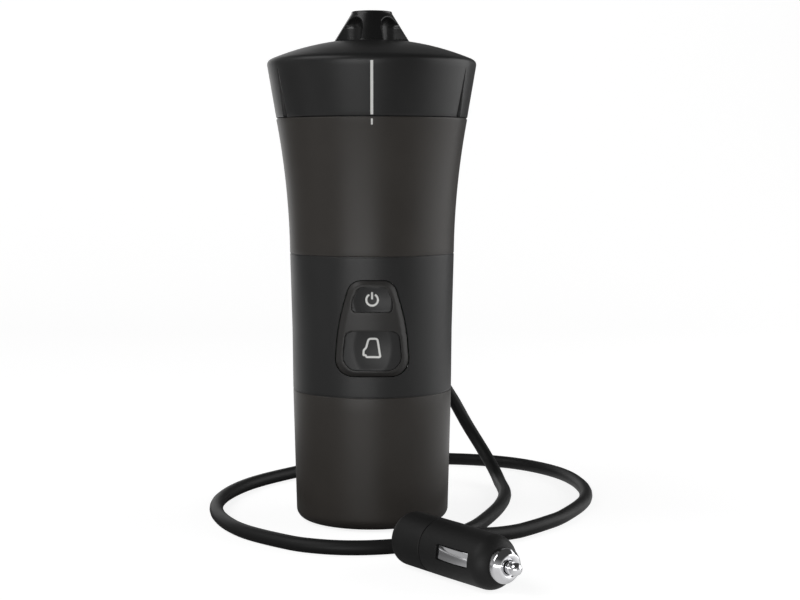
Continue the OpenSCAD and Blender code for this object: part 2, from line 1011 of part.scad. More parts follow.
module plug_tip() {
  neck_x = ball_x - 1.6;
  color([0.85, 0.85, 0.86])
    at_plug() {
      along(-6.4, neck_x - 0.2, pin_r);
      along(neck_x - 0.3, neck_x + 0.3, pin_r - 0.5);
      translate([ball_x, 0, 0])
        sphere(r = pin_r);
      along(-7.2, -5.3, chamber_r - 0.2);
    }
}

module plug_fuse() {
  color([0.78, 0.74, 0.60])
    at_plug()
      along(seam_x + 1.5 + tip_travel, -7.2, chamber_r - gap);
}

module side_contact() {
  run = slot_x[1] - slot_x[0] - 0.8;
  translate([(slot_x[0] + slot_x[1]) / 2, 0, gap - slot_w / 2])
    intersection() {
      difference() {
        translate([0, bow_r - nose_r, 0])
          cylinder(h = slot_w - 2 * gap, r = bow_r);
        translate([0, bow_r - nose_r + strip, -1])
          cylinder(h = slot_w + 2, r = bow_r);
      }
      translate([-run / 2, -nose_r - 1, -1])
        cube([run, 5, slot_w + 2]);
    }
}

module plug_contact_near() {
  color([0.80, 0.80, 0.81])
    at_plug(plug_roll)
      side_contact();
}

module plug_contact_far() {
  color([0.80, 0.80, 0.81])
    at_plug(plug_roll)
      rotate([180, 0, 0])
        side_contact();
}

lower_shell();
foot_pad();
base_screws();
middle_band();
upper_shell();
chassis();
chassis_screws();
heat_shield();
control_bezel();
power_button();
brew_button();
control_board();
board_parts();
board_screws();
pump_cradle();
pump_motor();
pump_head();
air_tube_low();
check_valve();
air_tube_high();
water_tank();
heater_plate();
thermostat();
thermal_fuse();
tank_seal();
neck_collar();
collar_ribs();
collar_screws();
pod_basket();
coffee_pod();
pressure_plate();
brew_filter();
lid_gasket();
lid_shell();
lid_liner();
spout();
cord_gland();
cord();
plug_rear_cap();
plug_body();
plug_ring();
plug_tip();
plug_fuse();
plug_contact_near();
plug_contact_far();
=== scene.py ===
# %% [markdown]
# # A twelve-volt coffee maker for the car
# The machine is a slim bottle: three housing shells, a twist-off lid with a fluted spout, two
# buttons on the front, and a cord that ends in a plug for the car's socket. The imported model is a
# fixed frame in metres, and every piece below is dressed onto it. The box of the bare frame is kept
# first, so that the end of the script can show that the looks did not change the size.

# %% Load the fixed frame
import json
import math

import bmesh
import bpy
import numpy as np
from mathutils import Matrix, Vector

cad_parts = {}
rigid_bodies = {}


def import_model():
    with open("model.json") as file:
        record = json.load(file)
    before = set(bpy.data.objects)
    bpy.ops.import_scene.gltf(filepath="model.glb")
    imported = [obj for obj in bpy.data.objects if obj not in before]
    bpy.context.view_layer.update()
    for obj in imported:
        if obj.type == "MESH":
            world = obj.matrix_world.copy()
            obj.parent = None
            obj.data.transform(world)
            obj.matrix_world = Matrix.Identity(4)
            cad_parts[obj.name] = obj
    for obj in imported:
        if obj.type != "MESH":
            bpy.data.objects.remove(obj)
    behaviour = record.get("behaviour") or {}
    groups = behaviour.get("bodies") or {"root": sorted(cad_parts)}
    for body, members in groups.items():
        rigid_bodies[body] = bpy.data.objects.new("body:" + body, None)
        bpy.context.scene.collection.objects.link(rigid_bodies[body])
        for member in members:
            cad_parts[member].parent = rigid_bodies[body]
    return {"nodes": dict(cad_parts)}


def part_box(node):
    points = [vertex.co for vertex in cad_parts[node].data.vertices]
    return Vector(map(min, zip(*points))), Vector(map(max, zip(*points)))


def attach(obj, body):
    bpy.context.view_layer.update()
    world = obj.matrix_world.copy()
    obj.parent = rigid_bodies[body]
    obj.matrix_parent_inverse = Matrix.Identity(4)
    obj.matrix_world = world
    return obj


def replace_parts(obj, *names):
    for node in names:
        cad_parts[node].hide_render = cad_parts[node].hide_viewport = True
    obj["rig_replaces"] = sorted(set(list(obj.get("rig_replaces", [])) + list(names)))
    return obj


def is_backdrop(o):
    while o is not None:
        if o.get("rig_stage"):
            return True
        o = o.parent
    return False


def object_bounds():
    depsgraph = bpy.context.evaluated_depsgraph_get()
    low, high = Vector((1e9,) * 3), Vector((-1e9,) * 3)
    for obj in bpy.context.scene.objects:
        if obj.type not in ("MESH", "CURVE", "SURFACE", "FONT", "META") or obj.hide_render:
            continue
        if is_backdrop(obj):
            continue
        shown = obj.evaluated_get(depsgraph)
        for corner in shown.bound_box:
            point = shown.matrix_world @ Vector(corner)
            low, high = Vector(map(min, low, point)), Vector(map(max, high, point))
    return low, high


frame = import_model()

MM = 0.001
scene = bpy.context.scene
cad_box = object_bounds()


def box_mm(name):
    low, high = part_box(name)
    return low / MM, high / MM


def linked(name, data):
    """An object made from its data and put into the scene."""
    thing = bpy.data.objects.new(name, data)
    scene.collection.objects.link(thing)
    return thing


def size_mm(piece):
    return [round(side / MM, 1) for side in piece.dimensions]


# %% [markdown]
# ## Camera
# The photograph is a level studio shot with a short telephoto lens, a little above the middle of the
# machine. A free camera could be framed by eye, but then every later comparison would be off by a few
# pixels. The numbers here come from solving the lens and the pitch from the seams of the housing,
# which are circles at known heights.

# %% Camera at the photograph's place
EYE = (0, -716.85 * MM, 156.17 * MM)
LENS, SENSOR = 74.2, 36
PITCH_DOWN = 4.8186
YAW_RIGHT = 0.97286

camera = linked("camera", bpy.data.cameras.new("camera"))
camera.data.lens = LENS
camera.data.sensor_width = SENSOR
camera.location = EYE
camera.rotation_euler = (math.radians(90 - PITCH_DOWN), 0, math.radians(-YAW_RIGHT))
scene.camera = camera
print("camera", round(-EYE[1], 3), "m in front,", LENS, "mm lens")

# %% [markdown]
# ## Finishes
# Nearly every surface is moulded plastic. Under a loupe it has a fine eroded grain from the mould, and
# at arm's length a faint cloudiness where it has been handled. Both are the same effect at different
# scales, so they are one node group: it takes the surface point and gives out a height for the bump
# and a slow mottle for colour and roughness. The shader itself stays in each material.


# %% The grain that all moulded finishes share
def feed(tree, node, inputs):
    """Sets the inputs of a node: a socket is linked, anything else is a plain value."""
    for key, value in dict(inputs).items():
        if isinstance(value, bpy.types.NodeSocket):
            tree.links.new(value, node.inputs[key])
        else:
            node.inputs[key].default_value = value


def add(tree, kind, inputs=(), **settings):
    node = tree.nodes.new(kind)
    for key, value in settings.items():
        setattr(node, key, value)
    feed(tree, node, inputs)
    return node


def calc(tree, operation, *values):
    return add(tree, "ShaderNodeMath", dict(enumerate(values)), operation=operation).outputs[0]


def sockets(tree, way, kind, *names):
    for name in names:
        tree.interface.new_socket(name, in_out=way, socket_type="NodeSocket" + kind)


def make_grain_group():
    group = bpy.data.node_groups.new("moulded_grain", "ShaderNodeTree")
    sockets(group, "INPUT", "Vector", "Point")
    sockets(group, "INPUT", "Float", "Grains per metre", "Clouds per metre")
    sockets(group, "OUTPUT", "Float", "Height", "Mottle")
    given = add(group, "NodeGroupInput").outputs
    fine, slow = [
        add(group, "ShaderNodeTexNoise", {"Vector": given["Point"], "Scale": given[scale], "Detail": detail})
        for scale, detail in (("Grains per metre", 3.0), ("Clouds per metre", 4.0))]
    spread = add(group, "ShaderNodeMapRange", {
        "Value": slow.outputs["Fac"], "From Min": 0.3, "From Max": 0.7})
    add(group, "NodeGroupOutput", {"Height": fine.outputs["Fac"], "Mottle": spread.outputs["Result"]})
    return group


grain_group = make_grain_group()
print("grain group with", len(grain_group.nodes), "nodes")

# %% One recipe for all finishes
CLOUDS = 45
WEAR = 0.03


def linear(value):
    share = value / 255
    return share / 12.92 if share <= 0.04045 else ((share + 0.055) / 1.055) ** 2.4


def colour(red, green, blue, gain=1.0):
    return (linear(red) * gain, linear(green) * gain, linear(blue) * gain, 1.0)


def moulded(name, tint, rough, grains=2600, relief=0.012, mottle=0.08, specular=0.25, metallic=0.0):
    material = bpy.data.materials.new(name)
    material.use_nodes = True
    tree = material.node_tree
    grain = add(tree, "ShaderNodeGroup", {
        "Point": add(tree, "ShaderNodeTexCoord").outputs["Object"],
        "Grains per metre": grains, "Clouds per metre": CLOUDS}, node_tree=grain_group).outputs
    shade = add(tree, "ShaderNodeMix", {
        "Factor": grain["Mottle"], "A": colour(*tint, gain=1 - mottle),
        "B": colour(*tint, gain=1 + mottle)}, data_type="RGBA")
    worn = add(tree, "ShaderNodeMapRange", {
        "Value": grain["Mottle"], "To Min": rough - WEAR, "To Max": rough + WEAR})
    bump = add(tree, "ShaderNodeBump", {"Height": grain["Height"], "Distance": relief * MM})
    feed(tree, tree.nodes["Principled BSDF"], {
        "Base Color": shade.outputs["Result"], "Roughness": worn.outputs["Result"],
        "Normal": bump.outputs["Normal"], "Specular IOR Level": specular, "Metallic": metallic})
    return material


cordskin = moulded("cordskin", (25, 25, 25), 0.5, grains=1800, relief=0.01, specular=0.18)
print("finish with", len(cordskin.node_tree.nodes), "nodes")

# %% [markdown]
# ## The cord
# A round rubber lead, six millimetres thick, leaves the back of the machine, drops to the table, comes
# forward round the right side, sweeps across the front to the left, goes back behind the machine and
# comes round the right side again to the plug. It could be a cloth-like simulation, but the photograph
# shows where it lies, so its line is a list of points set along that path and a smooth curve
# through them. Blender bevels the curve into a tube, and its real length is summed along it.

# %% The cord along its route
CORD_D = 6
CORD_R = CORD_D / 2
ROUTE = [
    (0, 28, 70), (0, 42, 70), (0, 57, 70), (5, 71, 69), (16, 85, 64), (29, 93, 54), (39, 95, 40),
    (47, 93, 26), (54, 86, 15), (59, 74, 7), (61, 60, 3), (61, 32, 3), (56, 4, 3), (47, -25, 3),
    (41, -39, 3), (33, -52, 3), (21, -63, 3), (7, -70, 3), (-8, -72, 3), (-22, -69, 3), (-35, -61, 3),
    (-55, -39, 3), (-67, -9, 3), (-69, 23, 3), (-60, 56, 3), (-42, 84, 3), (-18, 109, 3), (13, 123, 3),
    (45, 123, 3), (73, 110, 3), (92, 84, 3), (99, 51, 3), (96, 18, 3), (83, -14, 3), (73, -29, 3),
    (62, -42, 3), (51, -53, 4), (40, -63, 6), (30, -76, 9), (23, -86, 10),
]


def smooth_line(points, steps):
    p = [np.array(q, float) for q in points]
    p = [2 * p[0] - p[1]] + p + [2 * p[-1] - p[-2]]
    line = []
    for a, b, c, d in zip(p, p[1:], p[2:], p[3:]):
        for t in np.arange(steps) / steps:
            line.append(0.5 * (2 * b + (c - a) * t + (2 * a - 5 * b + 4 * c - d) * t**2
                               + (3 * b - a - 3 * c + d) * t**3))
    return line + [p[-2]]


def lay_cord(name, material):
    line = [Vector((q[0], q[1], max(q[2], CORD_R))) * MM for q in smooth_line(ROUTE, 8)]
    curve = bpy.data.curves.new(name, "CURVE")
    curve.dimensions = "3D"
    curve.bevel_depth = CORD_R * MM
    curve.bevel_resolution = 6
    curve.use_fill_caps = True
    spline = curve.splines.new("POLY")
    spline.points.add(len(line) - 1)
    for point, spot in zip(spline.points, line):
        point.co = (*spot, 1)
    curve.materials.append(material)
    return linked(name, curve), sum((b - a).length for a, b in zip(line, line[1:]))


cord, cord_length = lay_cord("supply_cord", cordskin)
print("cord", round(cord_length, 3), "m long")

# %% [markdown]
# ## The housing shells
# The lower and upper shells are turned forms: one outline of radius against height, spun round the
# axis. A Screw modifier or a subdivided cylinder would also do, but spinning the outline in mesh code
# lets it hold the real wall, the foot recess and the small broken edges at the seams, which are what
# catches the light where two mouldings meet.

# %% Outline of the lower shell
WALL = 2
EDGE = 0.35
low_box, band_box, upper_box = box_mm("lower_shell"), box_mm("middle_band"), box_mm("upper_shell")
seam_r, waist_r, neck_r = low_box[1].x, band_box[1].x, upper_box[1].x
FOOT_R = box_mm("foot_pad")[1].x
FOOT_GAP, FOOT_RECESS = 0.2, 1
BASE_R = 33.2
BASE_CORNER = 4.4
BASE_FLOOR = 2.6
HOLLOW_IN, HOLLOW_UP = 3.4, 6


def mix(a, b, share):
    return a + (b - a) * share


def arc(cx, cy, r, start, end, steps):
    turns = [math.radians(start + (end - start) * k / steps) for k in range(steps + 1)]
    return [(cx + r * math.cos(a), cy + r * math.sin(a)) for a in turns]


def eased(outline, steps=4):
    """Outline of (x, y) or (x, y, cut) corners, where a corner with a cut becomes a short curve."""
    soft = []
    for i, corner in enumerate(outline):
        here = Vector(corner[:2])
        cut = corner[2] if len(corner) > 2 else 0
        if not cut:
            soft.append(tuple(here))
            continue
        before = Vector(outline[i - 1][:2]) - here
        after = Vector(outline[(i + 1) % len(outline)][:2]) - here
        a = here + before.normalized() * min(cut, 0.45 * before.length)
        b = here + after.normalized() * min(cut, 0.45 * after.length)
        for k in range(steps + 1):
            t = k / steps
            soft.append(tuple(a * (1 - t) ** 2 + here * 2 * t * (1 - t) + b * t**2))
    return soft


def lower_outline():
    z0, top = low_box[0].z, low_box[1].z
    corner_top, floor, recess = z0 + BASE_CORNER, z0 + BASE_FLOOR, FOOT_R + FOOT_GAP
    inner = BASE_R - WALL
    return eased(
        [(0, z0 + FOOT_RECESS), (recess, z0 + FOOT_RECESS), (recess, z0, 0.2)]
        + arc(BASE_R - BASE_CORNER, corner_top, BASE_CORNER, -90, 0, 12)
        + [(mix(BASE_R, seam_r, k / 8), mix(corner_top, top, k / 8)) for k in range(1, 8)]
        + [(seam_r, top, EDGE), (seam_r - WALL, top), (inner, z0 + HOLLOW_UP), (inner - HOLLOW_IN, floor),
           (0, floor)])


low_line = lower_outline()
print("outline of", len(low_line), "points")

# %% Spinning it round the axis
STEPS = 180


def turned(outline, steps=STEPS, angles=None, shape=None):
    """Spins an outline of (radius, height) in millimetres; shape(r, z, angle) may bend each point."""
    bm = bmesh.new()
    angles = angles or [math.tau * k / steps for k in range(steps)]
    rings = []
    for r, z in outline:
        if r < 1e-6:
            rings.append([bm.verts.new((0, 0, z * MM))])
            continue
        ring = []
        for a in angles:
            bent, height = shape(r, z, a) if shape else (r, z)
            ring.append(bm.verts.new((bent * math.cos(a) * MM, bent * math.sin(a) * MM, height * MM)))
        rings.append(ring)
    pairs = list(zip(rings, rings[1:]))
    if len(rings[0]) > 1:
        pairs.append((rings[-1], rings[0]))
    for low, high in pairs:
        for k in range(len(angles)):
            corners = [low[k % len(low)], low[(k + 1) % len(low)],
                       high[(k + 1) % len(high)], high[k % len(high)]]
            corners = list(dict.fromkeys(corners))
            if len(corners) > 2:
                bm.faces.new(corners)
    return bm


low_bm = turned(low_line)
print("spun to", len(low_bm.faces), "faces")


# %% From a shape to a finished piece
def outward(bm):
    bmesh.ops.recalc_face_normals(bm, faces=bm.faces)
    return bm


def meshed(name, bm):
    mesh = bpy.data.meshes.new(name)
    outward(bm).to_mesh(mesh)
    bm.free()
    return mesh


def place(name, bm, material, body, nodes=(), sharp=35):
    """Makes the finished piece: closed, facing outwards, smooth up to an angle, riding on its body."""
    bmesh.ops.remove_doubles(bm, verts=bm.verts, dist=1e-7)
    return dress(name, meshed(name, bm), material, body, nodes, sharp)


def dress(name, mesh, material, body, nodes=(), sharp=35):
    mesh.shade_smooth()
    mesh.set_sharp_from_angle(angle=math.radians(sharp))
    mesh.materials.clear()
    mesh.materials.append(material)
    piece = linked(name, mesh)
    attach(piece, body)
    if nodes:
        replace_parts(piece, *nodes)
    return piece


shell = moulded("shell", (48, 45, 42), 0.40)
lower = place("housing_lower", low_bm, shell, "housing", ["lower_shell"])
print("lower shell", size_mm(lower), "mm")

# %% The upper shell
LIP_IN, LIP_UP = 0.35, 0.35
RIM_END, RIM_STEP, RIM_FOOT = 2, 1, 4
SAG = 1.25


def upper_radius(share):
    return mix(waist_r, neck_r, share) - 4 * SAG * share * (1 - share)


def upper_outline():
    low, top = upper_box[0].z, upper_box[1].z
    rise = [k / 24 for k in range(25)]
    outside = [(upper_radius(t), mix(low, top, t)) for t in rise]
    outside[0] += (EDGE,)
    outside[-1] += (EDGE,)
    lip, inner = neck_r - LIP_IN, neck_r - WALL
    rim = [(lip, top), (lip, top + LIP_UP, 0.1), (inner, top + LIP_UP), (inner, top - RIM_END),
           (inner - RIM_STEP, top - RIM_FOOT)]
    inside = [(upper_radius(t) - WALL, mix(low, top, t)) for t in reversed(rise[:20])]
    return eased(outside + rim + inside)


upper = place("housing_upper", turned(upper_outline()), shell, "housing", ["upper_shell"])
print("upper shell", size_mm(upper), "mm")

# %% [markdown]
# ## The middle band
# The band is a third moulding, in neutral black, with a window for the button panel in front and a hole
# for the cord behind. A window with rounded corners on a tapered wall is awkward to build quad by quad.
# A boolean cut is exact and quick, as long as the ring is dense enough that the cut only touches small
# faces, so that its smooth shading stays even.

# %% Outline of the band
BEND_AT = 0.44
BEND_R = 0.22
SEAM = 0.2
BAND_LIP = 0.2
band_low, band_top = band_box[0].z, band_box[1].z
bend_z = mix(band_low - SEAM, band_top + SEAM, BEND_AT)
bend_r = mix(seam_r, waist_r, BEND_R)


def band_radius(z):
    if z < bend_z:
        return mix(seam_r, bend_r, (z - band_low + SEAM) / (bend_z - band_low + SEAM))
    return mix(bend_r, waist_r, (z - bend_z) / (band_top + SEAM - bend_z))


def band_outline():
    rows = 30
    heights = [mix(band_low, band_top, k / rows) for k in range(rows + 1)]
    outside = [(band_radius(z), z) for z in heights]
    outside[0] += (EDGE,)
    outside[-1] += (EDGE,)
    inside = [(band_radius(z) - WALL, z) for z in reversed(heights[::5])]
    lips = []
    for z, up in ((band_top, LIP_UP), (band_low, -LIP_UP)):
        lip = band_radius(z) - BAND_LIP
        lips.append([(lip, z), (lip, z + up), (band_radius(z) - WALL, z + up)])
    return eased(outside + lips[0] + inside + lips[1][::-1])


print("band bends at height", round(bend_z, 1), "and radius", round(bend_r, 1), "mm")

# %% Outlines with round corners
CORNER_STEPS = 9
PANEL = [(-8.2, 73.7, 7.4), (8.2, 73.7, 7.4), (-69.6, 73.5, 85), (4.3, 100.5, 6.5), (-4.3, 100.5, 6.5),
         (69.6, 73.5, 85)]
POWER = [(-7, 95, 1.5), (7, 95, 1.5), (0, 96.5, 8.5), (3.6, 100.6, 3.5), (-3.6, 100.6, 3.5),
         (0, 96.5, 8.5)]
BREW = [(-6.2, 75.1, 6.1), (6.2, 75.1, 6.1), (8.2, 82.1, 3.4), (-8.2, 82.1, 3.4)]


def edge_angle(a, b):
    run = Vector((b[0] - a[0], b[1] - a[1]))
    return math.atan2(run.y, run.x) - math.acos((a[2] - b[2]) / run.length)


def outline_round(circles, grow=0.0):
    """The outline that runs round circles of (x, z, radius), grown by some millimetres."""
    points = []
    for i, (x, z, r) in enumerate(circles):
        start = edge_angle(circles[i - 1], circles[i])
        end = edge_angle(circles[i], circles[(i + 1) % len(circles)])
        turn = (end - start) % math.tau
        for k in range(CORNER_STEPS + 1):
            a = start + turn * k / CORNER_STEPS
            points.append((x + (r + grow) * math.cos(a), z + (r + grow) * math.sin(a)))
    return points


print("window outline of", len(outline_round(PANEL)), "points")

# %% Cutting the window and the hole for the cord
GLAND_Z, HOLE_R = 70, 5
CUT_FROM, CUT_TO = 20, 60


def prism(outline, front, back):
    """A closed bar of the outline, along Y."""
    bm = bmesh.new()
    ends = [[bm.verts.new((x * MM, y * MM, z * MM)) for x, z in outline] for y in (front, back)]
    bm.faces.new(ends[0])
    bm.faces.new(reversed(ends[1]))
    n = len(outline)
    for k in range(n):
        bm.faces.new((ends[0][k], ends[1][k], ends[1][(k + 1) % n], ends[0][(k + 1) % n]))
    return outward(bm)


def scratch(name, bm):
    return linked(name, meshed(name, bm))


def settled(thing):
    """The mesh of an object with its modifiers worked in; the object itself is taken away."""
    bpy.context.view_layer.update()
    shown = thing.evaluated_get(bpy.context.evaluated_depsgraph_get())
    mesh = bpy.data.meshes.new_from_object(shown)
    bpy.data.objects.remove(thing)
    return mesh


def carved(name, bm, cutters, extra=()):
    """The mesh of a shape with the extra shapes joined on and the cutters taken out."""
    body = scratch(name, bm)
    work = [("UNION", shape) for shape in extra] + [("DIFFERENCE", shape) for shape in cutters]
    tools = [scratch(name + "_tool", shape) for _, shape in work]
    for (kind, _), tool in zip(work, tools):
        step = body.modifiers.new("cut", "BOOLEAN")
        step.operation = kind
        step.solver = "EXACT"
        step.object = tool
    mesh = settled(body)
    for tool in tools:
        bpy.data.objects.remove(tool)
    return mesh


band = moulded("band", (34, 34, 34), 0.40)
window = prism(outline_round(PANEL), -CUT_TO, -CUT_FROM)
cord_hole = prism(arc(0, GLAND_Z, HOLE_R, 0, 360, 48)[:-1], CUT_FROM, CUT_TO)
band_mesh = carved("band", turned(band_outline()), [window, cord_hole])
middle = dress("housing_band", band_mesh, band, "housing", ["middle_band"], sharp=30)
print("band", len(middle.data.polygons), "faces")

# %% [markdown]
# ## The button panel
# A raised frame sits in the window, with sloping flanks and two openings, and each button is a dished
# cap with a soft lip. All of them follow the curve of the band. Each is drawn flat, as outlines filled
# with small triangles, and then pressed onto the curved wall: a point's height over the wall is worked
# out from how far it lies from the outlines, which gives the flanks and lips their even slope.

# %% Pressing a flat outline onto the band
GRID = 0.7


def in_front(r, x, z):
    """The place in metres on the front of a round wall."""
    return Vector((x, -math.sqrt(r * r - x * x), z)) * MM


def on_band(x, z, lift):
    return in_front(band_radius(z) + lift, x, z)


def pressed(outlines, lift, depth):
    """A plate bounded by the first outline, open at the others, pressed onto the band.

    lift(points) gives each point's height over the wall; the back lies depth under the wall."""
    bm = bmesh.new()
    loops = []
    for outline in outlines:
        ring = [bm.verts.new((x, 0, z)) for x, z in outline]
        loops.append([bm.edges.new((ring[k - 1], ring[k])) for k in range(len(ring))])
    bmesh.ops.triangle_fill(bm, use_beauty=True, use_dissolve=False, edges=sum(loops, []))
    low = np.min([v.co for v in bm.verts], axis=0)
    high = np.max([v.co for v in bm.verts], axis=0)
    for axis in (0, 2):
        for at in np.arange(low[axis] + GRID / 2, high[axis], GRID):
            spot, way = Vector(), Vector()
            spot[axis], way[axis] = at, 1
            parts = bm.verts[:] + bm.edges[:] + bm.faces[:]
            bmesh.ops.bisect_plane(bm, geom=parts, dist=1e-5, plane_co=spot, plane_no=way)
    bmesh.ops.triangulate(bm, faces=bm.faces)
    heights = lift([(v.co.x, v.co.z) for v in bm.verts])
    front = bm.verts[:]
    rim = [e for e in bm.edges if e.is_boundary]
    walls = bmesh.ops.extrude_edge_only(bm, edges=rim)["geom"]
    back = [v for v in walls if isinstance(v, bmesh.types.BMVert)]
    for v, height in zip(front, heights):
        v.co = on_band(v.co.x, v.co.z, height)
    for v in back:
        v.co = on_band(v.co.x, v.co.z, -depth)
    return bm


print("plates are pressed on a grid of", GRID, "mm")

# %% The raised frame
PANEL_GAP = 0.3
KEY_GAP = 0.06
RAISE, SUNK = 1.0, 0.3
FLANK, FLANK_SHARE, FLANK_SOFT = 2.3, 0.68, 0.15
LIP, LIP_DROP = 0.15, 0.08
PLATE_BACK = WALL + 0.5


def distances(points, outline):
    """How far each (x, z) point lies from an outline."""
    p = np.array(points)[:, None, :]
    a = np.array(outline)[None]
    run = np.roll(a, -1, axis=1) - a
    t = np.clip(((p - a) * run).sum(2) / (run * run).sum(2), 0, 1)
    return np.linalg.norm(p - a - run * t[..., None], axis=2).min(1)


def smooth(t):
    t = min(max(t, 0), 1)
    return t * t * (3 - 2 * t)


def frame_lift(points):
    outer = distances(points, outline_round(PANEL, -PANEL_GAP))
    inner = np.minimum(distances(points, outline_round(POWER, KEY_GAP)),
                       distances(points, outline_round(BREW, KEY_GAP)))
    heights = []
    for a, b in zip(outer, inner):
        climb = a / min(FLANK, FLANK_SHARE * (a + b))
        lip = min(LIP, (1 - FLANK_SHARE) * (a + b))
        up = mix(-SUNK, RAISE, mix(min(1, climb), smooth(climb), FLANK_SOFT))
        heights.append(up - LIP_DROP * (1 - math.sqrt(1 - (1 - min(1, b / lip)) ** 2)))
    return heights


bezel = moulded("bezel", (46, 45, 44), 0.42)
openings = [outline_round(POWER, KEY_GAP), outline_round(BREW, KEY_GAP)]
frame_bm = pressed([outline_round(PANEL, -PANEL_GAP)] + openings, frame_lift, PLATE_BACK)
panel_frame = place("panel_frame", frame_bm, bezel, "housing", ["control_bezel"], sharp=50)
print("panel frame", len(panel_frame.data.polygons), "faces")

# %% [markdown]
# ## The two buttons and their signs
# Each cap is hollowed by a large sphere, so that a thumb finds its middle, and its rim is softly rounded.
# The signs are printed: a power sign on the small cap and an upturned mug on the large one. They are thin
# strips laid along a path on the cap's own surface, which keeps them sharp from any distance, where a
# painted mask would need a very fine texture.

# %% Dished caps
CAP_DROP, CAP_BLEND = -0.6, 0.25
CAP_ROUND = 0.12
CAP_BACK = WALL + 2
DISH_DEPTH = 1.1
CAPS = {"power": (POWER, 98.5, 26), "brew": (BREW, 78, 40)}


def dish(x, z, middle, radius):
    """How deep the sphere reaches under the band's wall at a point."""
    side = radius * radius - x * x - (z - middle) ** 2
    y = -bend_r + DISH_DEPTH - radius + math.sqrt(max(side, 0))
    return band_radius(z) - math.hypot(x, y)


def cap_height(x, z, middle, radius, from_edge):
    low = dish(x, z, middle, radius)
    blend = 0.5 * (low + CAP_DROP + math.hypot(low - CAP_DROP, CAP_BLEND))
    rim = max(0, 1 - from_edge / CAP_ROUND)
    return -blend - CAP_ROUND * (1 - math.sqrt(1 - rim * rim))


def cap_lift(circles, middle, radius):
    def lift(points):
        edge = distances(points, outline_round(circles))
        return [cap_height(x, z, middle, radius, d) for (x, z), d in zip(points, edge)]
    return lift


key = moulded("key", (40, 40, 40), 0.42)
caps = []
for which, form in CAPS.items():
    cap_bm = pressed([outline_round(form[0])], cap_lift(*form), CAP_BACK)
    caps.append(place(which + "_cap", cap_bm, key, which + "_key", [which + "_button"], sharp=60))
print("caps", [len(cap.data.polygons) for cap in caps], "faces")

# %% Strips of print
PRINT_OVER = 0.05


def ribbon(path, width, surface, closed=False, thick=0.12):
    """A closed strip of print along a path of (x, z) points; surface(x, z) gives the place in metres."""
    bm = bmesh.new()
    p = [Vector(q) for q in path]
    n = len(p)
    rows = []
    for i in range(n):
        before = p[i - 1] if closed or i else p[0]
        after = p[(i + 1) % n] if closed or i < n - 1 else p[-1]
        way = (after - before).normalized()
        side = Vector((-way.y, way.x)) * width / 2
        left, right = p[i] + side, p[i] - side
        sink = Vector((0, thick * MM, 0))
        tops = [surface(left.x, left.y), surface(right.x, right.y)]
        rows.append([bm.verts.new(q) for q in (tops[0], tops[1], tops[1] + sink, tops[0] + sink)])
    pairs = list(zip(rows, rows[1:])) + ([(rows[-1], rows[0])] if closed else [])
    for a, b in pairs:
        for k in range(4):
            bm.faces.new((a[k], a[(k + 1) % 4], b[(k + 1) % 4], b[k]))
    if not closed:
        bm.faces.new(rows[0])
        bm.faces.new(reversed(rows[-1]))
    return bm


def dense(points, step=0.25, closed=False):
    out = []
    ends = points + points[:1] if closed else points
    for a, b in zip(ends, ends[1:]):
        a, b = Vector(a), Vector(b)
        n = max(1, math.ceil((b - a).length / step))
        out += [tuple(a.lerp(b, k / n)) for k in range(n)]
    return out if closed else out + [ends[-1]]


def on_cap(circles, middle, radius):
    def surface(x, z):
        edge = distances([(x, z)], outline_round(circles))[0]
        return on_band(x, z, cap_height(x, z, middle, radius, edge) + PRINT_OVER)
    return surface


printed = moulded("printed_white", (225, 225, 222), 0.55, mottle=0.03)
power_top, brew_top = [on_cap(*form) for form in CAPS.values()]
print("print stands", PRINT_OVER, "mm over the caps")

# %% The two signs
SIGN_Z = 98.65
SIGN_R = 2.42
STROKE = 0.85
GAP_HALF = 29
MUG = [(3.4, 74.7, 0.6), (2.2, 82.4, 1), (-1.5, 82.4, 1), (-2.5, 78.6, 0.5), (-3.6, 77.6, 0.6),
       (-3.6, 75.5, 0.25), (-2.75, 75.5, 0.15), (-2.3, 74.7, 0.25)]


def merged(name, *meshes):
    whole = bmesh.new()
    for mesh in meshes:
        whole.from_mesh(mesh)
        bpy.data.meshes.remove(mesh)
    return meshed(name, whole)


ring = arc(0, SIGN_Z, SIGN_R, 90 + GAP_HALF, 450 - GAP_HALF, 40)
bar = dense([(0, SIGN_Z + 0.2), (0, SIGN_Z + 3.2)])
strokes = [meshed("stroke", ribbon(line, STROKE, power_top)) for line in (ring, bar)]
power_sign = dress("power_sign", merged("power_sign", *strokes), printed, "power_key", sharp=60)
mug = ribbon(dense(eased(MUG), closed=True), STROKE, brew_top, closed=True)
mug_sign = place("mug_sign", mug, printed, "brew_key", sharp=60)
print("signs", size_mm(power_sign), size_mm(mug_sign), "mm")

# %% [markdown]
# ## The lid
# The lid is turned as well: a cone that widens to a rounded shoulder and a shallow dome above it, sunk in
# the middle for the spout. Four narrow wedges are pressed into its skirt for grip. They could be cut, but
# they are little more than a millimetre deep, so the outline is bent inwards there, with extra columns of
# points at each wedge, which keeps their edges soft. A printed line shows where the lid locks.

# %% Outline of the lid
CONE_H = 22.4
SHOULDER = [(0, 0), (0.05, 0.9), (0.35, 1.6), (0.9, 2.15), (1.9, 2.75)]
DOME_R, DOME_IN, DOME_UP = 112, 3.4, 3.35
LID_WALL = 2.4
SEAT_R, SEAT_DEEP = 16.5, 1.1
BORE_R, BOSS_R, BOSS_H = 11, 19, 2.8
SKIRT_R = 39.6
lid_low, lid_r = box_mm("lid_shell")[0].z, box_mm("lid_shell")[1].x
shoulder_z = lid_low + CONE_H
dome_rim = lid_r - DOME_IN
dome_z = shoulder_z + DOME_UP - math.sqrt(DOME_R**2 - dome_rim**2)
seat_z = dome_z + math.sqrt(DOME_R**2 - SEAT_R**2) - SEAT_DEEP


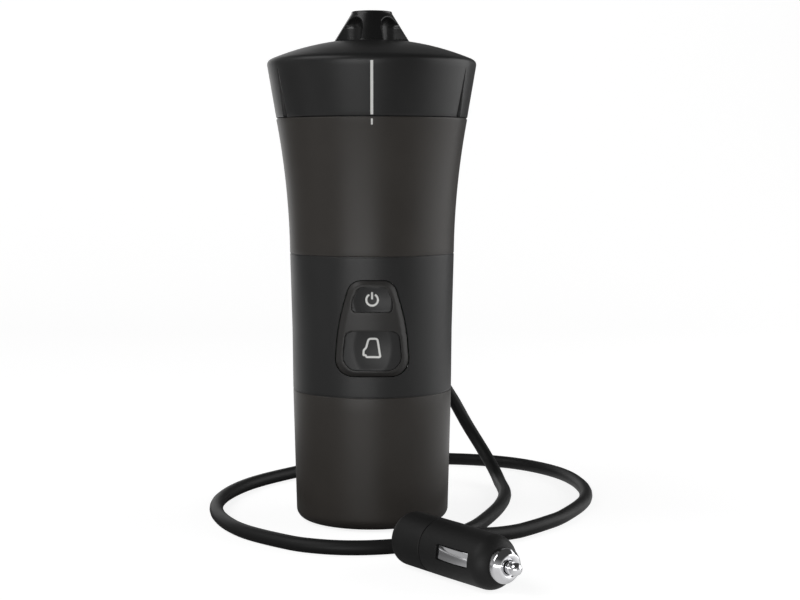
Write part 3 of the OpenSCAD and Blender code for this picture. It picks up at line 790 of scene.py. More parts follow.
def dome_height(r, inset=0.0):
    return dome_z + math.sqrt((DOME_R - inset) ** 2 - r * r)


def lid_outline():
    cone = [(mix(neck_r, lid_r, k / 12), lid_low + CONE_H * k / 12) for k in range(12)]
    cone[0] += (EDGE,)
    shoulder = [(lid_r - cut, shoulder_z + up) for cut, up in SHOULDER]
    dome = [(r, dome_height(r)) for r in [mix(dome_rim, SEAT_R, k / 20) for k in range(20)]]
    seat = [(SEAT_R, dome_height(SEAT_R), 0.3), (SEAT_R, seat_z), (BORE_R, seat_z),
            (BORE_R, seat_z - BOSS_H), (BOSS_R, seat_z - BOSS_H)]
    under = [(r, dome_height(r, LID_WALL)) for r in [mix(BOSS_R, SKIRT_R, k / 6) for k in range(7)]]
    return eased(cone + shoulder + dome + seat + under + [(SKIRT_R, lid_low)])


lid_line = lid_outline()
print("lid outline of", len(lid_line), "points")

# %% The lid with its grip wedges
GRIP_AT = [28, 152, 208, 332]
GRIP_DEEP, GRIP_TALL = 1.2, 21
GRIP_HALF, GRIP_TAPER, GRIP_SOFT = 1.7, 1.95, 0.35


def grip_angles():
    near = [0.25 * k for k in range(1, 13)]
    spots = [a + s * d for a in GRIP_AT for d in near + [0] for s in (-1, 1)]
    even = [360 * k / STEPS for k in range(STEPS)]
    apart = [e for e in even if min(abs(e - a) for a in GRIP_AT) > near[-1] + 0.3]
    return [math.radians(a) for a in sorted(set(spots + apart))]


def grip(r, z, angle):
    rise = (z - lid_low) / GRIP_TALL
    if r < SKIRT_R + 0.5 or rise > 1:
        return r, z
    half = GRIP_HALF - GRIP_TAPER * max(rise, 0)
    turn = min(abs(math.degrees(angle) - a) for a in GRIP_AT)
    inside = half - math.radians(turn) * r
    deep = GRIP_DEEP * (1 - 0.5 * max(rise, 0))
    return r - deep * smooth(inside / GRIP_SOFT + 0.5), z


lid_plastic = moulded("lid", (30, 30, 30), 0.38)
lid_bm = turned(lid_line, angles=grip_angles(), shape=grip)
lid_piece = place("lid_cap", lid_bm, lid_plastic, "lid", ["lid_shell"], sharp=40)
print("lid", len(lid_piece.data.polygons), "faces")

# %% Locking line and its mark
LINE_W, MARK_W = 1.15, 0.75


def on_cone(x, z):
    return in_front(mix(neck_r, lid_r, (z - lid_low) / CONE_H) + PRINT_OVER, x, z)


def on_neck(x, z):
    share = (z - upper_box[0].z) / (upper_box[1].z - upper_box[0].z)
    return in_front(upper_radius(share) + PRINT_OVER, x, z)


lock_path = dense([(0, lid_low + 0.5), (0, shoulder_z - 0.2)], step=2)
lock_line = place("lock_line", ribbon(lock_path, LINE_W, on_cone), printed, "lid", sharp=60)
mark_path = dense([(0, upper_box[1].z - 0.5), (0, upper_box[1].z - 3)], step=1)
lock_mark = place("lock_mark", ribbon(mark_path, MARK_W, on_neck), printed, "housing", sharp=60)
print("lock line", size_mm(lock_line), "mark", size_mm(lock_mark), "mm")

# %% [markdown]
# ## The spout
# The spout is a short cone with four deep flutes, so that it looks like a flower from above and pours a
# narrow stream. The flutes are the hollows that an upright round cutter leaves in the cone, so they are
# shallow at the top and deep at the foot. Cutting them with booleans gives knife edges, so each point of the
# cone asks how far the cutter reaches towards the axis there, and takes a soft minimum of the two: that
# rounds every ridge as a mould does.

# %% Outline of the spout
OUTLET_R, OUTLET_WALL, OUTLET_ROUND = 4, 0.8, 0.5
FOOT, FOOT_H = SEAT_R - 0.2, 1.1
TOP_R, TOP_ROUND = 8.7, 0.35
PIPE_R, PIPE_H = 10.8, 2.9
spout_top = box_mm("spout")[1].z


def spout_outline():
    rise = 40
    climb = spout_top - seat_z - FOOT_H - 2 * TOP_ROUND
    skin = [(mix(FOOT, TOP_R, k / rise), seat_z + FOOT_H + climb * k / rise) for k in range(1, rise)]
    return ([(OUTLET_R, seat_z - PIPE_H), (PIPE_R, seat_z - PIPE_H), (PIPE_R, seat_z), (FOOT, seat_z)]
            + [(FOOT - cut, seat_z + FOOT_H - down) for cut, down in ((0, 0.15), (0.03, 0.1), (0.08, 0))]
            + skin + arc(TOP_R - TOP_ROUND, spout_top - TOP_ROUND, TOP_ROUND, 0, 90, 6)
            + arc(OUTLET_R + OUTLET_ROUND, spout_top - OUTLET_ROUND, OUTLET_ROUND, 90, 180, 4))


spout_line = spout_outline()
print("spout outline of", len(spout_line), "points")

# %% The spout with its flutes
FLUTE_R, FLUTE_AT, FLUTE_TOP = 6.4, 13.9, 6.4
RIDGE, SEARCH = 0.6, 6


def cutter_gap(r, z, turn):
    """Distance from a point to the skin of the upright round cutter, which ends in a ball."""
    across, side = r * math.cos(turn) - FLUTE_AT, r * math.sin(turn)
    past = max(0, z - seat_z - FLUTE_TOP)
    return math.sqrt(across * across + side * side + past * past) - FLUTE_R


def fluted(r, z, angle):
    if r < OUTLET_R + 0.3 or z < seat_z + FOOT_H - 0.05:
        return r, z
    quarter = math.pi / 2
    turn = (angle % quarter) - quarter / 2
    low, high = OUTLET_R + OUTLET_WALL, r + SEARCH
    for _ in range(24):
        middle = (low + high) / 2
        if cutter_gap(middle, z, turn) > 0:
            low = middle
        else:
            high = middle
    wide = max(RIDGE - abs(r - low), 0) / RIDGE
    return min(r, low) - wide * wide * RIDGE / 4, z


gloss = moulded("gloss", (24, 24, 24), 0.24, relief=0.004, mottle=0.05)
spout_bm = turned(spout_line, steps=240, shape=fluted)
spout_piece = place("pour_spout", spout_bm, gloss, "lid", ["spout"], sharp=50)
print("spout", len(spout_piece.data.polygons), "faces")

# %% [markdown]
# ## The other finishes
# Each slot of the record gets one finish: stainless steel for the tank, glass-fibre green for the board,
# soft silicone for the air line, unbleached paper for the pod. They could be written one by one as node
# trees, but they differ only in colour, gloss and grain, so they are the same recipe with other numbers.

# %% Finishes by slot
FINISHES = {
    "steel": moulded("steel", (178, 178, 180), 0.28, grains=900, relief=0.004, metallic=1.0),
    "chrome": moulded("chrome", (214, 214, 216), 0.08, grains=900, relief=0.001, mottle=0.03, metallic=1.0),
    "inner": moulded("inner", (52, 52, 53), 0.5),
    "shield": moulded("shield", (120, 116, 108), 0.6, relief=0.02),
    "board": moulded("board", (28, 84, 52), 0.38, grains=700, relief=0.01),
    "parts": moulded("parts", (44, 52, 84), 0.45),
    "silicone": moulded("silicone", (206, 200, 186), 0.5),
    "tank": moulded("tank", (186, 186, 188), 0.22, grains=600, relief=0.003, metallic=1.0),
    "heater": moulded("heater", (150, 146, 140), 0.42, relief=0.01, metallic=1.0),
    "brass": moulded("brass", (190, 150, 80), 0.3, metallic=1.0),
    "seal": moulded("seal", (158, 48, 30), 0.5, relief=0.01),
    "neck": moulded("neck", (36, 36, 36), 0.4),
    "paper": moulded("paper", (222, 211, 190), 0.85, grains=1600, relief=0.06),
    "plug": moulded("plug", (26, 26, 26), 0.5, specular=0.2),
    "fuse": moulded("fuse", (200, 188, 150), 0.2),
    "rubber": moulded("rubber", (26, 26, 26), 0.62, grains=1500, relief=0.03),
    "shell": shell, "band": band, "bezel": bezel, "key": key, "lid": lid_plastic, "gloss": gloss,
    "cordskin": cordskin,
}
print("finishes for", len(FINISHES), "slots")

# %% [markdown]
# ## Trees for what repeats
# Screws stand in a ring, holes fill a sieve, and the ribs of the lid's thread are one helix set out three
# times. Mesh code could copy them, but Geometry Nodes keeps the shape and the setting-out apart, and each
# size is a named input. Every tree ends in real geometry with its material, because copies that are only
# instances can get lost in an export.


# %% A tree that sets pieces in a ring
def new_tree(name, *sizes):
    tree = bpy.data.node_groups.new(name, "GeometryNodeTree")
    sockets(tree, "INPUT", "Geometry", "Geometry")
    for label in sizes:
        sockets(tree, "INPUT", "Int" if label == "Count" else "Float", label)
    sockets(tree, "INPUT", "Material", "Material")
    sockets(tree, "OUTPUT", "Geometry", "Geometry")
    return tree, add(tree, "NodeGroupInput").outputs


def end_tree(tree, made, given):
    real = add(tree, "GeometryNodeRealizeInstances", {"Geometry": made})
    skin = add(tree, "GeometryNodeSetMaterial", {"Geometry": real.outputs[0], "Material": given["Material"]})
    add(tree, "NodeGroupOutput", {"Geometry": skin.outputs[0]})
    return tree


def upright(tree, value):
    return add(tree, "ShaderNodeCombineXYZ", {"Z": value}).outputs[0]


def seated(tree, made, given):
    return add(tree, "GeometryNodeTransform", {
        "Geometry": made, "Translation": upright(tree, given["Level"]),
        "Rotation": upright(tree, given["Turn"])}).outputs[0]


def ring_tree():
    tree, given = new_tree("set_in_a_ring", "Count", "Radius", "Turn", "Level")
    ring = add(tree, "GeometryNodeMeshCircle", {"Vertices": given["Count"], "Radius": given["Radius"]})
    copies = add(tree, "GeometryNodeInstanceOnPoints", {
        "Points": seated(tree, ring.outputs[0], given), "Instance": given["Geometry"]})
    return end_tree(tree, copies.outputs[0], given)


ring_of = ring_tree()
print("ring tree with", len(ring_of.nodes), "nodes")

# %% A tree for the ribs of the thread
RIB_ROUND = 0.35


def helix_tree():
    tree, given = new_tree("thread_ribs", "Count", "Radius", "Sweep", "Rise", "Wide", "Tall", "Turn", "Level")
    line = add(tree, "GeometryNodeCurveSpiral", {
        "Resolution": 160, "Rotations": given["Sweep"], "Start Radius": given["Radius"],
        "End Radius": given["Radius"], "Height": given["Rise"], "Reverse": True})
    end = add(tree, "GeometryNodeCurvePrimitiveQuadrilateral", {
        "Width": given["Wide"], "Height": given["Tall"]})
    soft = add(tree, "GeometryNodeFilletCurve", {
        "Curve": end.outputs[0], "Count": 3, "Radius": RIB_ROUND * MM}, mode="POLY")
    rib = add(tree, "GeometryNodeCurveToMesh", {
        "Curve": line.outputs[0], "Profile Curve": soft.outputs[0], "Fill Caps": True})
    starts = add(tree, "GeometryNodePoints", {"Count": given["Count"]})
    share = calc(tree, "DIVIDE", math.tau, given["Count"])
    turn = calc(tree, "MULTIPLY", add(tree, "GeometryNodeInputIndex").outputs[0], share)
    copies = add(tree, "GeometryNodeInstanceOnPoints", {
        "Points": starts.outputs[0], "Instance": seated(tree, rib.outputs[0], given),
        "Rotation": upright(tree, turn)})
    return end_tree(tree, copies.outputs[0], given)


helix_of = helix_tree()
print("rib tree with", len(helix_of.nodes), "nodes")

# %% A tree that drills a sieve
DRILL = 4
ACROSS = 8
ROW_SHIFT, ROW_STEP = 0.5, 0.866


def sieve_tree():
    tree, given = new_tree("sieve", "Field", "Pitch", "Hole", "Level")
    wide = calc(tree, "MULTIPLY", given["Pitch"], ACROSS)
    grid = add(tree, "GeometryNodeMeshGrid", {
        "Size X": wide, "Size Y": wide, "Vertices X": ACROSS + 1, "Vertices Y": ACROSS + 1})
    spot = add(tree, "GeometryNodeInputPosition").outputs[0]
    here = add(tree, "ShaderNodeSeparateXYZ", {0: spot}).outputs
    there = add(tree, "ShaderNodeCombineXYZ", {
        "X": calc(tree, "MULTIPLY_ADD", here["Y"], ROW_SHIFT, here["X"]),
        "Y": calc(tree, "MULTIPLY", here["Y"], ROW_STEP), "Z": given["Level"]})
    staggered = add(tree, "GeometryNodeSetPosition", {
        "Geometry": grid.outputs[0], "Position": there.outputs[0]})
    flat = add(tree, "ShaderNodeVectorMath", {0: spot, 1: (1, 1, 0)}, operation="MULTIPLY")
    reach = add(tree, "ShaderNodeVectorMath", {0: flat.outputs[0]}, operation="LENGTH")
    within = add(tree, "FunctionNodeCompare", {"A": reach.outputs["Value"], "B": given["Field"]},
                 operation="LESS_THAN")
    drill = add(tree, "GeometryNodeMeshCylinder", {
        "Vertices": 20, "Radius": calc(tree, "MULTIPLY", given["Hole"], 0.5), "Depth": DRILL * MM})
    drills = add(tree, "GeometryNodeInstanceOnPoints", {
        "Points": staggered.outputs[0], "Selection": within.outputs[0], "Instance": drill.outputs[0]})
    solid = add(tree, "GeometryNodeRealizeInstances", {"Geometry": drills.outputs[0]})
    cut = add(tree, "GeometryNodeMeshBoolean", {"Mesh 1": given["Geometry"], "Mesh 2": solid.outputs[0]},
              operation="DIFFERENCE", solver="EXACT")
    return end_tree(tree, cut.outputs[0], given)


sieve_of = sieve_tree()
print("sieve tree with", len(sieve_of.nodes), "nodes")

# %% [markdown]
# ## The neck and its thread
# Under the lid a collar is screwed to the shelf of the housing, and three short ribs climb round it, each a
# fifth of a turn. The lugs of the lid ride under them: a sixth of a turn pulls the lid down onto its gasket.
# A modelled screw thread would be many turns of a fine profile, but a bayonet has few, coarse ribs, so one
# helix tree makes both the ribs here and the lugs in the lid.

# %% Neck collar
collar_low, collar_high = box_mm("neck_collar")
COLLAR_R = box_mm("pod_basket")[1].x + 0.2
COLLAR_WALL, FLANGE = 1.6, 2
MOUTH_R = COLLAR_R - 7.6


def collar_outline():
    floor, top, shelf = collar_low.z, collar_high.z, collar_low.z + FLANGE
    groove_in, groove_out, inner = MOUTH_R + 0.4, MOUTH_R + 2.2, COLLAR_R - COLLAR_WALL
    return eased([(MOUTH_R, floor), (groove_in, floor), (groove_in, floor + 1), (groove_out, floor + 1),
                  (groove_out, floor), (collar_high.x, floor), (collar_high.x, shelf, 0.3), (COLLAR_R, shelf),
                  (COLLAR_R, top, 0.3), (inner, top, 0.3), (inner, shelf), (MOUTH_R, shelf, 0.3)])


neck = FINISHES["neck"]
collar = place("lid_neck", turned(collar_outline()), neck, "housing", ["neck_collar"])
print("collar", size_mm(collar), "mm")

# %% Ribs of the thread
LEAD = 24
SLEEVE_IN, SLEEVE_R, SLEEVE_H = COLLAR_R + 0.1, COLLAR_R + 0.5, 12.7
RIB_R = collar_high.x - 0.4
RIB_Z = collar_high.z - 5.5
RIB_H = 2.4
RIB_BITE = 0.2
RIB_SPAN = 70


def run_tree(tree, start, material, **sizes):
    """The mesh that a tree makes from a start shape; lengths are in millimetres, turns in degrees."""
    thing = scratch(tree.name, start)
    maker = thing.modifiers.new(tree.name, "NODES")
    maker.node_group = tree
    entry = {s.name: s.identifier for s in tree.interface.items_tree if s.in_out == "INPUT"}
    maker[entry["Material"]] = material
    for label, value in sizes.items():
        if label == "Turn":
            value = math.radians(value)
        elif label not in ("Count", "Sweep"):
            value *= MM
        maker[entry[label]] = value
    return settled(thing)


def helix_ribs(inner, outer, span, level):
    """Three ribs of the thread between two radii, each over some degrees, with its middle at a height."""
    return run_tree(helix_of, bmesh.new(), neck, Count=3, Radius=(inner + outer) / 2, Sweep=span / 360,
                    Rise=LEAD * span / 360, Wide=outer - inner, Tall=RIB_H, Turn=90 - span / 2,
                    Level=level - LEAD * span / 720)


sleeve = turned(eased([(SLEEVE_IN, collar_high.z - SLEEVE_H), (SLEEVE_R, collar_high.z - SLEEVE_H),
                       (SLEEVE_R, collar_high.z, 0.3), (SLEEVE_IN, collar_high.z)]))
ribs = helix_ribs(SLEEVE_R - RIB_BITE, RIB_R, RIB_SPAN, RIB_Z + RIB_H / 2)
thread_mesh = merged("lid_thread", meshed("sleeve", sleeve), ribs)
thread = dress("lid_thread", thread_mesh, neck, "housing", ["collar_ribs"])
print("thread", size_mm(thread), "mm")

# %% Screws of the collar
CROSS = 0.45
SCREW = {"head_r": 1.9, "head_h": 1.2, "shank_r": 1.2, "shank": 5.7}
SCREW_RING = MOUTH_R + 3.9


def cross_screw(head_r, head_h, shank_r, shank):
    outline = eased([(0, -shank), (shank_r, -shank, 0.4), (shank_r, 0), (head_r, 0),
                     (head_r, head_h * 0.5, 0.3), (head_r * 0.7, head_h, 0.3), (0, head_h)])
    cuts = []
    for x, z in ((head_r / 1.6, CROSS / 1.6), (CROSS / 1.6, head_r / 1.6)):
        cut = prism([(-x, -z), (x, -z), (x, z), (-x, z)], head_h * 0.4, head_h + 1)
        cut.transform(Matrix.Rotation(math.pi / 2, 4, "X"))
        cuts.append(cut)
    made = bmesh.new()
    made.from_mesh(carved("screw", turned(outline, steps=32), cuts))
    return made


steel = FINISHES["steel"]
screws = run_tree(ring_of, cross_screw(**SCREW), steel, Count=4, Radius=SCREW_RING, Turn=45,
                  Level=collar_low.z + FLANGE)
dress("neck_screws", screws, steel, "housing", ["collar_screws"])
print("screws", len(screws.polygons), "faces")

# %% [markdown]
# ## Basket, pod and filter
# The basket is a drawn steel cup with a sieve for a floor, and a ring on it keeps the paper pod in place. The
# filter in the lid is a plain disc with finer holes. All the holes lie on a staggered grid, so both floors
# come from the same tree, which drills them with one boolean cut.

# %% Steel basket
basket_low, basket_high = box_mm("pod_basket")
BASKET_R = COLLAR_R - 2
BASKET_FLOOR, BASKET_RIM, BASKET_WALL = 1.2, 1.3, 1
POD_R = box_mm("coffee_pod")[1].x
RING_IN, RING_OUT, RING_TOP = POD_R + 0.6, POD_R + 2, 7.2
PITCH = 5.4


def basket_outline():
    low, top, rim = basket_low.z, basket_high.z, basket_high.z - BASKET_RIM
    floor, ring_z, inner = low + BASKET_FLOOR, low + RING_TOP, BASKET_R - BASKET_WALL
    return eased([(0, low), (BASKET_R, low, 1.4), (BASKET_R, rim), (basket_high.x, rim, 0.3),
                  (basket_high.x, top, 0.5), (inner, top, 0.8), (inner, floor, 0.9), (RING_OUT, floor),
                  (RING_OUT, ring_z, 0.5), (RING_IN, ring_z, 0.5), (RING_IN, floor), (0, floor)])


cup = run_tree(sieve_of, turned(basket_outline()), steel, Field=POD_R - 3, Pitch=PITCH, Hole=2,
               Level=basket_low.z)
dress("steel_basket", cup, steel, "basket", ["pod_basket"], sharp=40)
print("basket", len(cup.polygons), "faces")

# %% Filter in the lid
filter_low, filter_high = box_mm("brew_filter")


def filter_outline():
    low, high, edge = filter_low.z, filter_high.z, filter_high.x
    return eased([(0, low), (edge, low, 0.25), (edge, high, 0.25), (0, high)])


disc = run_tree(sieve_of, turned(filter_outline()), steel, Field=filter_high.x - 5.5, Pitch=PITCH,
                Hole=1.4, Level=filter_low.z)
dress("lid_filter", disc, steel, "lid_plate", ["brew_filter"], sharp=40)
print("filter", len(disc.polygons), "faces")

# %% [markdown]
# ## The paper pod
# A pod is two discs of filter paper, pressed together at the rim round a dose of ground coffee. A lens shape
# would do from afar, but paper that is blown up by its filling puckers towards the seal. That is what a cloth
# simulation gives: two flat sheets with their rim held, a little too wide, and pressure between them. It runs
# on a copy a metre across, because the solver is tuned to things of that size, and is scaled back after.

# %% Two sheets under pressure
SEAL_FROM = 0.9
PUFF_FRAMES = 24
SHEETS_APART = 12
CREASE, CREASES_ROUND, CREASES_ALONG = 0.003, 9, 40


def pod_sheets():
    rows, half = 26, SHEETS_APART / 2
    radii = [k / rows / MM for k in range(rows + 1)]
    return turned([(r, -half) for r in radii] + [(r, half) for r in reversed(radii)], steps=80)


def puffed():
    bag = scratch("pod_cloth", pod_sheets())
    held = bag.vertex_groups.new(name="seal")
    for v in bag.data.vertices:
        turn = math.atan2(v.co.y, v.co.x)
        v.co.z += CREASE * math.sin(CREASES_ROUND * turn + CREASES_ALONG * v.co.x)
        if math.hypot(v.co.x, v.co.y) > SEAL_FROM:
            held.add([v.index], 1.0, "REPLACE")
    cloth = bag.modifiers.new("cloth", "CLOTH")
    paper = cloth.settings
    paper.quality = 5
    paper.mass = 0.3
    paper.tension_stiffness = paper.compression_stiffness = 20
    paper.shear_stiffness = 8
    paper.bending_stiffness = 0.6
    paper.shrink_min = -0.05
    paper.use_pressure = True
    paper.uniform_pressure_force = 4
    paper.vertex_group_mass = "seal"
    paper.effector_weights.gravity = 0
    cloth.point_cache.frame_end = PUFF_FRAMES
    for step in range(1, PUFF_FRAMES + 1):
        scene.frame_set(step)
    mesh = settled(bag)
    scene.frame_set(1)
    return mesh


pod_mesh = puffed()
print("pod blown up with", len(pod_mesh.vertices), "points")

# %% The pod in its basket
pod_low, pod_high = box_mm("coffee_pod")
FLATTEN, SEAL_DROP = 1.6, 0.3


def settle_in_basket(mesh):
    """Brings the blown-up pod to its size: the seal at its height, the top crowned, the bottom lying flat."""
    z = np.array([v.co.z for v in mesh.vertices])
    top, seal_z = max(z), (pod_low.z + pod_high.z) / 2 - SEAL_DROP
    up, down = pod_high.z - seal_z, seal_z - pod_low.z
    for v in mesh.vertices:
        share = v.co.z / top
        height = up * share if share > 0 else -down * min(1, FLATTEN * -share)
        v.co = Vector((v.co.x * POD_R, v.co.y * POD_R, seal_z + height)) * MM


settle_in_basket(pod_mesh)
pod = dress("paper_pod", pod_mesh, FINISHES["paper"], "basket", ["coffee_pod"], sharp=80)
print("pod", size_mm(pod), "mm")

# %% [markdown]
# ## Inside the lid
# The lid carries a plate that presses on the basket through a red silicone gasket, and a tube that leads the
# coffee to the spout. The liner round it holds the three lugs. They could be cut from solid discs, but they
# are turned pieces and the helix again. The gasket gets two soft lips, which is what makes it look like
# rubber and not like a washer.

# %% Plate and gasket
plate_low, plate_high = box_mm("pressure_plate")
gasket_low, gasket_high = box_mm("lid_gasket")
seal_in, seal_out = COLLAR_R - 2.7, gasket_high.x
TUBE_WALL = 2
PLATE_H, PLATE_RECESS = 3, 1
LIPS_APART, LIP_GROOVE = 0.25, 0.6


def plate_outline():
    low, disc, top = plate_low.z, plate_low.z + PLATE_H, plate_high.z
    tube, recess, edge = OUTLET_R + TUBE_WALL, filter_high.x - 1.5, plate_high.x
    return eased([(OUTLET_R, low + PLATE_RECESS), (recess, low + PLATE_RECESS), (recess, low),
                  (edge, low, 0.4), (edge, disc, 0.4), (tube, disc), (tube, top, 0.3), (OUTLET_R, top)])


def gasket_outline():
    low, high, middle = gasket_low.z, gasket_high.z, (seal_in + seal_out) / 2
    return eased([(seal_in, low, 0.5), (middle - LIPS_APART, low, 0.3), (middle, low + LIP_GROOVE),
                  (middle + LIPS_APART, low, 0.3), (seal_out, low, 0.5), (seal_out, high), (seal_in, high)])


inner, seal = FINISHES["inner"], FINISHES["seal"]
plate = place("press_plate", turned(plate_outline()), inner, "lid_plate", ["pressure_plate"])
gasket = place("lip_gasket", turned(gasket_outline()), seal, "lid_plate", ["lid_gasket"], sharp=50)
print("plate", size_mm(plate), "gasket", size_mm(gasket), "mm")

# %% Liner with its lugs
liner_low, liner_high = box_mm("lid_liner")
LINER_WALL, LINER_TOP = 0.6, 1.4
LUG_SPAN, LUG_GAP, LUG_UNDER = 40, 0.4, 0.3


def liner_outline():
    low, high, outer = liner_low.z, liner_high.z, liner_high.x
    inside, ledge = outer - LINER_WALL, high - LINER_TOP
    return eased([(inside, low, 0.2), (outer, low, 0.2), (outer, high), (COLLAR_R, high),
                  (COLLAR_R, ledge, 0.3), (inside, ledge)])


lugs = helix_ribs(SLEEVE_R + LUG_GAP, liner_high.x - RIB_BITE, LUG_SPAN, RIB_Z - LUG_UNDER - RIB_H / 2)
liner = merged("lug_ring", meshed("ring", turned(liner_outline())), lugs)
lug_ring = dress("lug_ring", liner, neck, "lid", ["lid_liner"])
print("liner with lugs", size_mm(lug_ring), "mm")

# %% [markdown]
# ## Foot and cord gland
# The foot is a rubber disc with rings that grip the table. The gland is a rubber sleeve that snaps into the
# hole in the back, with grooves that let it bend with the cord. Both are spun from an outline: a groove is a
# few more points in it, so neither needs a cut.

# %% Rubber foot
foot_high = box_mm("foot_pad")[1]
RING_W, RING_DEEP = 1.6, 0.5
RING_RADII = range(24, 6, -4)


def foot_outline():
    rings = []
    for r in RING_RADII:
        rings += [(r, 0, 0.2), (r, RING_DEEP, 0.2), (r - RING_W, RING_DEEP, 0.2), (r - RING_W, 0, 0.2)]
    return eased([(0, foot_high.z), (foot_high.x, foot_high.z), (foot_high.x, 0, 0.5)] + rings + [(0, 0)])


rubber = FINISHES["rubber"]
foot = place("foot_disc", turned(foot_outline()), rubber, "housing", ["foot_pad"])
print("foot", size_mm(foot), "mm")

# %% Cord gland
gland_low, gland_high = box_mm("cord_gland")
TO_BACK = Matrix.Rotation(-math.pi / 2, 4, "X")
FLANGE_R, FLANGE_H, FACE_UP = 7, 2, 5.6
THROAT_R, THROAT_H = 4.85, 3
BOOT_WALL, GROOVE_WALL, TIP_WALL = 2.2, 0.8, 1.1
TAPER_FROM, TAPER_RUN = 1.8, 20
GROOVES, GROOVE_FROM, GROOVE_STEP, GROOVE_W = 4, 5.5, 3.6, 1.4


def gland_outline():
    back, tip = gland_low.y, gland_high.y
    face, bore, groove_r = back + FACE_UP, CORD_R + 0.1, CORD_R + GROOVE_WALL
    throat = face - THROAT_H
    boot = [(CORD_R + BOOT_WALL, face + FLANGE_H)]
    for k in range(GROOVES):
        y = face + GROOVE_FROM + GROOVE_STEP * k
        r = CORD_R + mix(BOOT_WALL, TIP_WALL, (y - face - TAPER_FROM) / TAPER_RUN)
        boot += [(r, y, 0.25), (groove_r, y + 0.1, 0.3), (groove_r, y + GROOVE_W - 0.1, 0.3),
                 (r, y + GROOVE_W, 0.25)]
    return eased([(bore, back), (FLANGE_R, back, 0.4), (FLANGE_R, throat, 0.4), (THROAT_R, throat),
                  (THROAT_R, face), (FLANGE_R, face, 0.3), (FLANGE_R, face + FLANGE_H, 0.9)]
                 + boot + [(CORD_R + TIP_WALL, tip, 0.6), (bore, tip, 0.3)])


gland_bm = turned(gland_outline(), steps=64)
gland_bm.transform(Matrix.Translation((0, 0, GLAND_Z * MM)) @ TO_BACK)
gland = place("cord_sleeve", gland_bm, rubber, "housing", ["cord_gland"])
print("gland", size_mm(gland), "mm")

# %% [markdown]
# ## The car plug
# The plug is a barrel of 21 mm, the size of the car's socket, in two halves with a seam between them. Its nut
# holds the sprung tip, and a bowed spring strip stands in a window on each side. The barrel is spun and the
# windows are cut into it. The strip is bent from a flat bar, because its bow is what carries the bright
# streak in the photograph. Everything is made lying along X and then laid on the table at the plug's place.

# %% Barrel with its windows
PLUG_R = 10.5
NOSE_R = PLUG_R - 0.2
NOSE_ROUND = 6.3
SEAM_X, LAND_X, CAP_X = -36.9, -28, -56.3
SEAM_HALF = 0.2
CHAMBER_R, SHANK_R, SHANK_X = 3.4, 4.2, -5
SPIGOT_R, SPIGOT_X = 8, 3.4
SLOT_X = (-26.8, -7.9)
SLOT_W, SLOT_DEEP, SLOT_CORNER = 5.8, 5.2, 1.2
PLUG_AT, PLUG_YAW, PLUG_ROLL = (47, -131.3, PLUG_R), -54.8, -7.8
ALONG_X = Matrix.Rotation(math.pi / 2, 4, "Y")
plug_spot = Matrix.Translation(Vector(PLUG_AT) * MM) @ Matrix.Rotation(math.radians(PLUG_YAW), 4, "Z")
plug_roll = Matrix.Rotation(math.radians(PLUG_ROLL), 4, "X")


def barrel_outline():
    socket_r, socket_x, seam = SPIGOT_R + 0.2, SEAM_X + SPIGOT_X + 0.3, SEAM_X + SEAM_HALF
    return eased([(CHAMBER_R, socket_x), (socket_r, socket_x), (socket_r, seam), (PLUG_R, seam, 0.5),
                  (PLUG_R, LAND_X)]
                 + arc(NOSE_R - NOSE_ROUND, -NOSE_ROUND, NOSE_ROUND, 0, 88, 14)
                 + [(SHANK_R + 0.1, SHANK_X), (CHAMBER_R, SHANK_X)])


def slot_cutter(side):
    x0, x1, w, r = *SLOT_X, SLOT_W / 2, SLOT_CORNER
    corners = eased([(x0, -w, r), (x1, -w, r), (x1, w, r), (x0, w, r)], steps=6)
    return prism(corners, side * (PLUG_R + 1), side * SLOT_DEEP)


def moved(mesh, matrix):
    mesh.transform(matrix)
    return mesh


plug_skin = FINISHES["plug"]
barrel_bm = turned(barrel_outline())
barrel_bm.transform(ALONG_X)
barrel_mesh = moved(carved("barrel", barrel_bm, [slot_cutter(-1), slot_cutter(1)]), plug_spot @ plug_roll)
barrel = dress("plug_barrel", barrel_mesh, plug_skin, "housing", ["plug_body"], sharp=30)
print("barrel", size_mm(barrel), "mm")

# %% Rear cap with its boot
CAP_CORNER, CAP_END = 3.5, 4
BOOT_X, BOOT_YAW, BOOT_DIP = -49, 108.4, 4.4
BOOT_FROM, BOOT_TO = 6, 20
BOOT_R, BOOT_END_R = CORD_R + 2.6, CORD_R + 1.2
HOLLOW_FROM, HOLLOW_TO, HOLLOW_R = 3, 33, CORD_R + 0.3


def cap_outline():
    seam, spigot_x, hollow_r = SEAM_X - SEAM_HALF, SEAM_X + SPIGOT_X, CHAMBER_R + 0.3
    return eased([(0, CAP_X)] + arc(PLUG_R - CAP_CORNER, CAP_X + CAP_CORNER, CAP_CORNER, -90, 0, 10)
                 + [(PLUG_R, seam, 0.5), (SPIGOT_R, seam), (SPIGOT_R, spigot_x), (hollow_r, spigot_x),
                    (hollow_r, CAP_X + CAP_END), (0, CAP_X + CAP_END)])


def boot_shape(outline):
    bm = turned(outline, steps=64)
    yaw = Matrix.Rotation(math.radians(BOOT_YAW), 4, "Z")
    dip = Matrix.Rotation(math.radians(90 + BOOT_DIP), 4, "Y")
    bm.transform(Matrix.Translation((BOOT_X * MM, 0, 0)) @ yaw @ dip)
    return bm


